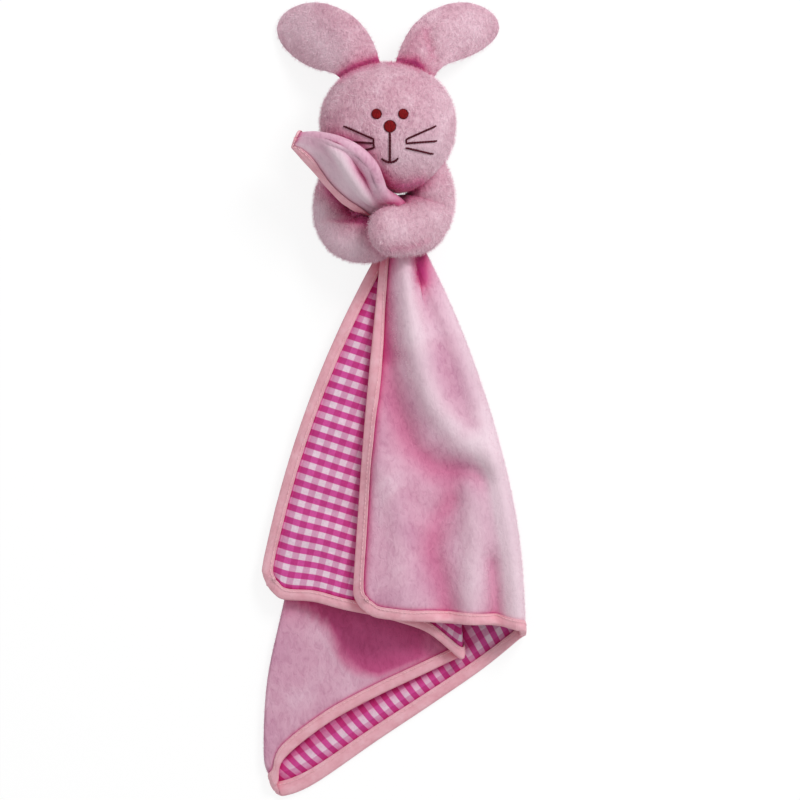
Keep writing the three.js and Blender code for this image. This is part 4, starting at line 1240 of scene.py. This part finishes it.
# The corner in the ring and on the face: both sides of its lower layer, from the ring's centre
leafRows = (
    ((-8.2, -10.2, 4), (9, -8.8, 4)), ((-13, -3, 5), (12.2, -2.6, 6)), ((-17.4, 4, 10), (7, 6.5, 14)),
    ((-20.8, 9.5, 17), (4, 12.5, 24)), ((-25, 13.5, 24), (-0.4, 16.8, 33.5)), ((-29.4, 16.4, 29.5), (-8, 21.9, 43)),
    ((-33.6, 19.2, 31.5), (-11, 28.4, 51.5)), ((-41.5, 27.6, 35.5), (-15, 37.4, 57.8)),
    ((-48.5, 35.4, 38.5), (-24, 46.4, 59.8)), ((-55, 41.4, 41.2), (-36.6, 52.6, 56.5)),
    ((-60.6, 45.2, 42.3), (-49.6, 54.8, 49.5)), ((-63.4, 47.2, 42.3), (-60, 54.2, 45)),
)
leaf = {"spread": 5.6, "tipSpread": 3, "clearance": 3, "columns": 4, "ringHeight": 4}


def leafPoint(row, share):
    point = Vector(row[0]).lerp(Vector(row[1]), share) + ringCentre
    over = headTop(point.x, point.y, leaf["clearance"]) - point.z
    point.z += (over + math.hypot(over, 2)) / 2
    return point


def leafShares(width):
    radius = leaf["spread"] / 2
    straight = 1 - radius / width
    tape = min(band / width, 0.3 * straight)
    rounding = max(1.6 * tape, min(cloth["cornerRadius"] / width, 0.5 * straight))
    shares = [0, tape, rounding] + [mix(rounding, straight, i / leaf["columns"]) for i in range(1, leaf["columns"])]
    return shares, straight


def cornerControl():
    start = []
    for degrees in (layout[0][3], layout[1][3]):
        point = polar(cloth["gather"] - cloth["gap"], degrees) - ringCentre
        start.append((point.x, point.y, leaf["ringHeight"]))
    rows = [tuple(start), *leafRows]
    grid, flats = [], []
    for i, row in enumerate(rows):
        before, after = rows[max(0, i - 1)], rows[min(len(rows) - 1, i + 1)]
        width = (leafPoint(row, 0) - leafPoint(row, 1)).length
        shares, straight = leafShares(width)

        def around(share):
            point = leafPoint(row, share)
            along = leafPoint(after, share) - leafPoint(before, share)
            across = leafPoint(row, min(1, share + 0.1)) - leafPoint(row, max(0, share - 0.1))
            return point, across.cross(along).normalized(), across.normalized()
        line, flatLine = [], []
        radius = leaf["spread"] / 2
        spread = mix(leaf["spread"], leaf["tipSpread"], ease(len(rows) - 3.5, len(rows) - 1, i))
        away = ringArc * mix(1, 0.03, i / (len(rows) - 1))

        def onFlat(share):
            turn = math.radians(45) * (1 - share)
            return flatCorner + Vector((math.sin(turn), -math.cos(turn), 0)) * away
        for share in shares:
            point, up = around(share)[:2]
            line.append(point + up * spread)
            flatLine.append(onFlat(share * 0.96))
        for step in range(4):
            point, up, across = around(straight)
            turn = step / 3 * math.pi
            line.append(point + across * (radius * math.sin(turn)) + up * (spread / 2 * (1 + math.cos(turn))))
            flatLine.append(onFlat(0.97 + 0.02 * step))
        for share in reversed(shares):
            line.append(around(share)[0])
            mirrored = onFlat(share * 0.96)
            flatLine.append(Vector((-mirrored.x, mirrored.y, 0)))
        if i == 0:
            line = [ontoArc(point, cloth["gather"] - cloth["gap"]) for point in line]
        grid.append(line)
        flats.append(flatLine)
    return grid, flats


# The upper layer lies in two rolls with a hollow between them: where the first roll runs over it, by row
rollAt = ((0, 1), (4, 0.9), (5, 0.8), (6, 0.71), (7, 0.63), (8, 0.61), (9, 0.74), (10, 0.95), (12, 1.1))
# their heights in millimetres, with the offset from the first roll and the half width as shares across the corner
rolls = {"crestAndPaintedLight": (3.0, 0, 0.2), "hollow": (4.6, 0.2, 0.12), "second": (0.5, 0.27, 0.05), "hollowRow": 7.8,
         "hollowRows": 1.05, "swell": 0.5}


def bulge(part, away):
    height, offset, half = rolls[part]
    return height * math.exp(-((away - offset) / half) ** 2)


def cornerNet():
    grid, flats = cornerControl()
    fineness = cloth["fineness"]
    grid, flats = refine(grid, fineness), refine(flats, fineness)
    normals = gridNormals(grid, -1)
    paintedLightGrid = []
    for i, row in enumerate(grid):
        along = i / fineness
        roll = alongStops(rollAt, along)
        depth = ease(4.2, 7, along) * (1 - ease(8.8, 10.6, along))
        line = []
        for j in range(len(row)):
            share = min(1, j / (5 * fineness))
            inside = ease(0, 0.25, share) if j < 6 * fineness else 0
            away = share - roll
            dent = math.exp(-((along - rolls["hollowRow"]) / rolls["hollowRows"]) ** 2)
            lift = (bulge("crestAndPaintedLight", away) * depth + (bulge("second", away) - bulge("hollow", away)) * dent) * inside
            # painted highlight on the rolls and painted shade in the hollow, with a painted highlight over the upper
            # layer that is stronger on its side nearer the taped edge
            line.append(lift / (3.2 if lift > 0 else 6) + mix(0.75, 0.2, ease(0.2, 0.7, share)) * inside)
            row[j] = row[j] + normals[i][j] * (lift + rolls["swell"] * noise.noise(row[j] * 0.06) * inside)
        paintedLightGrid.append(line)
    return grid, flats, paintedLightGrid


corner, cornerFlats, cornerPaintedLight = cornerNet()
cornerPieces = sewCloth("corner", corner, cornerFlats, -1, "head", "corner", cornerPaintedLight, 0.15)
print("the corner is drawn through the ring")


# Arms, round the ring and over the blanket

armLook = {"depth": 21, "pawDepth": 18, "tipShare": 0.46, "rootTo": 0.02, "rootThinner": 0.12, "pawThinner": 0.1,
           "swell": 0.9, "lump": 0.35, "lowest": 0.02, "finish": plush,
           "pressedFrom": 14, "pawGap": 0.3, "clothGap": 0.4, "onCloth": -48,
           "left": {"width": 26, "inner": -1, "innerSwell": 1.5, "outerSlack": 3.6, "lift": 4,
                    "line": ((-21.32, -18.24, 24.5), (-32.4, -37, 13), (-33, -52.4, 10), (-27.5, -62.4, 16),
                             (-17, -67.9, 23.7), (-5, -68.4, 25.7), (4.2, -68.4, 25.7))},
           "right": {"width": 28.5, "inner": 1, "innerSwell": 7, "outerSlack": 2.2, "lift": 9,
                     "line": ((19.68, -18.24, 24.5), (26.6, -36, 14), (26, -48.5, 12), (20, -58.8, 23.5),
                              (10, -63, 36.7), (1.2, -63, 41.7), (-11.8, -64, 41.7))}}


clothTree = treeOf([hangingPieces[0], hangingPieces[2], cornerPieces[0], cornerPieces[2]])


def clothTop(x, y):
    top = 0
    for dx, dy in ((0, 0), (2.4, 0), (-2.4, 0), (0, 2.4), (0, -2.4)):
        hit = clothTree.ray_cast(Vector((x + dx, y + dy, 30)) * mm, Vector((0, 0, -1)))[0]
        if hit:
            top = max(top, hit.z / mm)
    return top


def armMesh(side, other):
    arm = armLook[side]
    points, length = evenPoints(smoothLine([Vector(p) for p in arm["line"]]), 160)
    tip = arm["width"] * armLook["tipShare"] / length

    def place(share, turn):
        s = (1 - math.cos(math.pi * share)) / 2
        s = mix(s, share, 0.5)
        intoTip = max(0, (s - 1 + tip) / tip)
        roundTip = math.sqrt(max(0, 1 - intoTip ** 2))
        roundRoot = min(1, math.sqrt(s / armLook["rootTo"]))
        middle = alongPoints(points, s)
        way = directionOf(points, s)
        across = way.cross(Vector((0, 0, 1))).normalized()
        out = across.cross(way)
        full = 1 - armLook["rootThinner"] * math.cos(math.pi * min(1, s * 2.2))
        full -= armLook["pawThinner"] * ease(0.6, 1, s)
        width = arm["width"] / 2 * full * roundTip * roundRoot
        depth = mix(armLook["depth"], armLook["pawDepth"], ease(0.4, 0.8, s)) / 2 * roundTip * roundRoot
        f = math.cos(turn)
        inside = f * arm["inner"]
        bend = ease(0, 0.16, s) * (1 - ease(0.36, 0.66, s))
        width += (arm["innerSwell"] * max(0, inside) * ease(0.26, 0.42, s) - arm["outerSlack"] * max(0, -inside)) * bend
        point = middle + across * (width * f) + out * (depth * math.sin(turn))
        point.z += arm["lift"] * max(0, math.sin(turn)) * ease(0.02, 0.28, s) * (1 - ease(0.5, 0.8, s))
        away = (point - middle).normalized() if (point - middle).length > 1e-6 else way
        lump = noise.noise(point * 0.07) * armLook["swell"] + noise.noise(point * 0.4) * armLook["lump"]
        point += away * lump * min(1, roundTip * 2)
        point.z = max(point.z, armLook["lowest"])
        return point
    mesh = padMesh("arm_" + side + "_cover", 64, 110, place)
    inside = 0
    for corner in mesh.vertices:
        point = corner.co / mm
        # the paw is pressed by the other one, and rests on the cloth
        if other is not None:
            near, normal = other.find_nearest(corner.co, armLook["pressedFrom"] * mm)[:2]
            if near is not None and (corner.co - near).dot(normal) < armLook["pawGap"] * mm:
                corner.co = near + normal * armLook["pawGap"] * mm
                inside += 1
                point = corner.co / mm
        if point.y < armLook["onCloth"]:
            top = clothTop(point.x, point.y)
            if top and -1 < point.z < top + armLook["clothGap"]:
                corner.co.z = (top + armLook["clothGap"]) * mm
    print(side, "arm: points pressed by the other paw", inside)
    return mesh


armPads, tree = {}, None
for side in ("right", "left"):
    mesh = armMesh(side, tree)
    pad = keepPiece("arm_" + side + "_cover_pad", mesh, armLook["finish"], "arm_" + side, "plush",
                    ("arm_" + side + "_cover", "arm_" + side + "_filling"))
    armPads[side] = pad
    tree = treeOf([pad])
print("the arms are sewn")


# Pile: short bent fibres that stand out of the plush

pileLook = {"length": 2.5, "width": 0.21, "lean": 0.8, "upright": 0.25, "uprightLean": 3.5, "nestedCut": 0.55,
            "lowest": 2.2, "sunk": 0.35, "stray": 0.25,
            "lengths": (0.55, 1.2), "leans": (0.5, 1.4), "widths": (0.7, 1.2),
            "counts": {"head": 18500, "ear_left": 8000, "ear_right": 8000, "arm_left": 10500, "arm_right": 10500}}


# Painted shade in crevices: how deep each point sits among its neighbours, the share of short feelers over it that meet
# something near, which darkens the colour there
creviceShadeLook = {"reach": 17, "feelers": 14, "smooth": 3, "start": 0.9, "goldenTurn": 2.39996}
feelers = []
for step in range(creviceShadeLook["feelers"]):
    spread = (step + 0.5) / creviceShadeLook["feelers"]
    turn = step * creviceShadeLook["goldenTurn"]
    feelers.append((math.cos(turn) * math.sqrt(spread), math.sin(turn) * math.sqrt(spread), math.sqrt(1 - spread)))


# Where the arms cross each other or meet the head, the contact is hidden at rest and shows when they open: there most
# of the arms' painted shade is taken off. Each place has its x, y and radius
contacts = {"places": ((-3, -58, 13), (29, -25, 9)), "kept": 0.8}


def feelCreviceShade(piece, tree):
    mesh = piece.data
    reach = creviceShadeLook["reach"] * mm
    lean = Vector((0.31, 0.22, 0.92))
    shares = []
    for corner in mesh.vertices:
        normal = corner.normal
        side = normal.cross(lean).normalized()
        other = normal.cross(side)
        start = corner.co + normal * creviceShadeLook["start"] * mm
        met = 0
        for a, b, c in feelers:
            distance = tree.ray_cast(start, side * a + other * b + normal * c, reach)[3]
            if distance is not None:
                met += 1 - distance / reach
        shares.append(met / len(feelers))
    for _ in range(creviceShadeLook["smooth"]):
        sums, counts = shares[:], [1] * len(shares)
        for edge in mesh.edges:
            a, b = edge.vertices
            sums[a] += shares[b]
            sums[b] += shares[a]
            counts[a] += 1
            counts[b] += 1
        shares = [total / count for total, count in zip(sums, counts)]
    if piece.name.startswith("arm"):
        for number, corner in enumerate(mesh.vertices):
            for x, y, radius in contacts["places"]:
                away = math.hypot(corner.co.x / mm - x, corner.co.y / mm - y)
                shares[number] *= 1 - contacts["kept"] * math.exp(-(away / radius) ** 2)
    mesh.attributes.new("creviceShade", "FLOAT", "POINT").data.foreach_set("value", shares)
    return shares


# Painted light and shade on the plush: a path over a piece, its half width and how much it is painted, lighter above 0
# as a painted highlight and darker below 0 as painted shade in creases and where shadows fall
paintedShadingPaths = {
    "head_cover": (
        (((-4, -33), (3, -36.5), (12, -37.5), (20, -34.5)), 5, -1.35),
        (((-29, 28.5), (-18, 34.5), (-7, 38)), 2.8, -1.2), (((1, 38), (10, 37.5), (19, 34)), 2.4, -1.0),
        (((-6, -22), (26, -18)), 10, 0.45), (((30, -8), (32, 14)), 13, 0.4)),
    "ear_left_cover": (
        (((-31, 28.5), (-20, 34.8), (-7, 39)), 3.2, -1.7), (((-27, 35), (-14, 45)), 4, -0.3),
        (((-36, 44), (-54, 60)), 15, 0.75)),
    "ear_right_cover": (
        (((1, 39), (9, 38.5), (20, 35)), 3, -1.5), (((23, 57), (25, 48), (27, 41)), 3.4, -0.6),
        (((16, 33), (17, 40)), 3, -0.8), (((12, 42), (17, 51)), 4, -0.3), (((38, 50), (54, 62)), 15, 0.5)),
    "arm_left_cover_pad": (
        (((-33, -39), (-25, -47), (-12, -54)), 8, -1.45), (((-38, -57), (-12, -57.5)), 1.6, -0.8),
        (((-42, -52), (-36, -67), (-20, -76)), 9, 0.85)),
    "arm_right_cover_pad": (
        (((2, -74), (14, -73), (24, -69)), 1.8, -0.45), (((18, -33), (11, -40)), 3.4, -0.6),
        (((22, -38), (26, -56), (8, -64)), 10, 0.35)),
}


def paintShadingOnPads(pad):
    paintedShadings = []
    for corner in pad.data.vertices:
        x, y = corner.co.x / mm, corner.co.y / mm
        paintedShading = sum(paintedLevel * math.exp(-(distanceTo(x, y, path)[0] / half) ** 2)
                   for path, half, paintedLevel in paintedShadingPaths[pad.name])
        paintedShadings.append(paintedShading * ease(-0.3, 0.3, corner.normal.z))
    pad.data.attributes.new("crestAndPaintedLight", "FLOAT", "POINT").data.foreach_set("value", paintedShadings)
    return paintedShadings


shaped = [headPad, *earPads.values(), *armPads.values(), *hangingPieces, *cornerPieces]
everything = treeOf(shaped)
creviceShadeByPiece = {piece.name: feelCreviceShade(piece, everything) for piece in shaped}
paintedLevels = {pad.name: paintShadingOnPads(pad) for pad in shaped if pad.name in paintedShadingPaths}
print("the nested places are felt")


clear = {"spot": 1.2, "whisker": 1.7, "mouthLine": 1.8, "smileEnd": 1.5, "smile": 2.4}


def nearStitch(point, _):
    if point.z < headCentreZ:
        return False
    for x, y, radius in sewnSpots:
        if math.hypot(point.x - x, point.y - y) < radius + clear["spot"]:
            return True
    x = abs(point.x - face["shift"])
    for _, inner, outer in face["whiskers"]:
        if distanceTo(x, point.y, (inner, outer))[0] < clear["whisker"]:
            return True
    return distanceTo(x, point.y, ((0, mouthBottom), (0, -4)))[0] < clear["mouthLine"] or (
        x < face["mouthWidth"] / 2 + clear["smileEnd"] and abs(point.y - mouthBottom - 0.8) < clear["smile"])


def growPile(name, pad, body, count, seed, skip=None, size=1.0, standOff=0.0):
    chance = random.Random(seed)
    mesh = pad.data
    mesh.calc_loop_triangles()
    areas, total = [], 0
    for triangle in mesh.loop_triangles:
        total += triangle.area
        areas.append(total)
    corners, faces, fibreCreviceShades, paintedShadings = [], [], [], []
    depth = creviceShadeByPiece[pad.name]
    paintedLevel = paintedLevels.get(pad.name, [0] * len(depth))
    index = 0
    for step in range(count):
        goal = (step + chance.random()) / count * total
        while index < len(areas) - 1 and areas[index] < goal:
            index += 1
        triangle = mesh.loop_triangles[index]
        a, b, c = (mesh.vertices[v] for v in triangle.vertices)
        nested = sum(depth[v] for v in triangle.vertices) / 3
        fibreShading = sum(paintedLevel[v] for v in triangle.vertices) / 3
        u, v = chance.random(), chance.random()
        if u + v > 1:
            u, v = 1 - u, 1 - v
        root = (a.co * (1 - u - v) + b.co * u + c.co * v) / mm
        normal = (a.normal * (1 - u - v) + b.normal * u + c.normal * v).normalized()
        if root.z < pileLook["lowest"] or (skip and skip(root, normal)):
            continue
        root += normal * standOff
        flow = noise.noise_vector(root * 0.05) + noise.noise_vector(root * 0.25) * 1.3 + Vector((0, -0.35, 0))
        flow += Vector((chance.uniform(-1, 1), chance.uniform(-1, 1), chance.uniform(-1, 1))) * pileLook["stray"]
        flow = (flow - normal * flow.dot(normal)).normalized()
        length = pileLook["length"] * size * chance.uniform(*pileLook["lengths"])
        length *= 1 - pileLook["nestedCut"] * min(1, nested)
        lean = pileLook["lean"] * chance.uniform(*pileLook["leans"])
        lean *= pileLook["uprightLean"] if chance.random() < pileLook["upright"] else 1
        way = (normal * lean + flow).normalized()
        side = way.cross(normal).normalized()
        width = pileLook["width"] * chance.uniform(*pileLook["widths"]) * mix(1, size, 0.5)
        base = root - normal * pileLook["sunk"]
        middle = base + (normal * (lean + 0.5) + flow * 0.7).normalized() * length * 0.5
        tip = middle + way * length * 0.5
        first = len(corners)
        for centre, span in ((base, width), (middle, width * 0.7)):
            for turn in (0, 120, 240):
                t = math.radians(turn)
                corners.append((centre + (side * math.cos(t) + normal * math.sin(t)) * span / 2) * mm)
        corners.append(tip * mm)
        # each fibre carries the painted shade and painted highlight of the plush where it grows
        fibreCreviceShades += [nested] * 7
        paintedShadings += [fibreShading] * 7
        for k in range(3):
            n = (k + 1) % 3
            faces.append((first + k, first + n, first + 3 + n, first + 3 + k))
            faces.append((first + 3 + k, first + 3 + n, first + 6))
        faces.append((first + 2, first + 1, first))
    pile = closedMesh(name, corners, faces)
    pile.attributes.new("creviceShade", "FLOAT", "POINT").data.foreach_set("value", fibreCreviceShades)
    pile.attributes.new("crestAndPaintedLight", "FLOAT", "POINT").data.foreach_set("value", paintedShadings)
    print(name, len(fibreCreviceShades) // 7, "fibres")
    return keepPiece(name, pile, fibres, body, "velour" if standOff else "plush", smooth=False)


pads = {"head": headPad, "ear_left": earPads["left"], "ear_right": earPads["right"],
        "arm_left": armPads["left"], "arm_right": armPads["right"]}
for seed, (body, pad) in enumerate(pads.items()):
    growPile(body + "_pile", pad, body, pileLook["counts"][body], 11 + seed, nearStitch if body == "head" else None)


# The same fibres, shorter, where the velour turns over at a fold and its pile stands out of the outline
foldPile = {"tries": 90000, "seed": 31, "size": 0.6, "standOff": 0.7, "steepness": 0.75, "tapeNear": 3}
tapeTree = treeOf([hangingPieces[2]])


def offFold(root, normal):
    return abs(normal.z) > foldPile["steepness"] or tapeTree.ray_cast(
        root * mm, normal, foldPile["tapeNear"] * mm)[0] is not None


growPile("blanket_pile", hangingPieces[0], "blanket", foldPile["tries"], foldPile["seed"], offFold, foldPile["size"],
         foldPile["standOff"])
print("the pile is brushed")

whole = flatArea(hangingFlats) * mm * mm
small = flatArea(cornerFlats) * mm * mm
print("flat areas", round(whole, 4), round(small, 4))
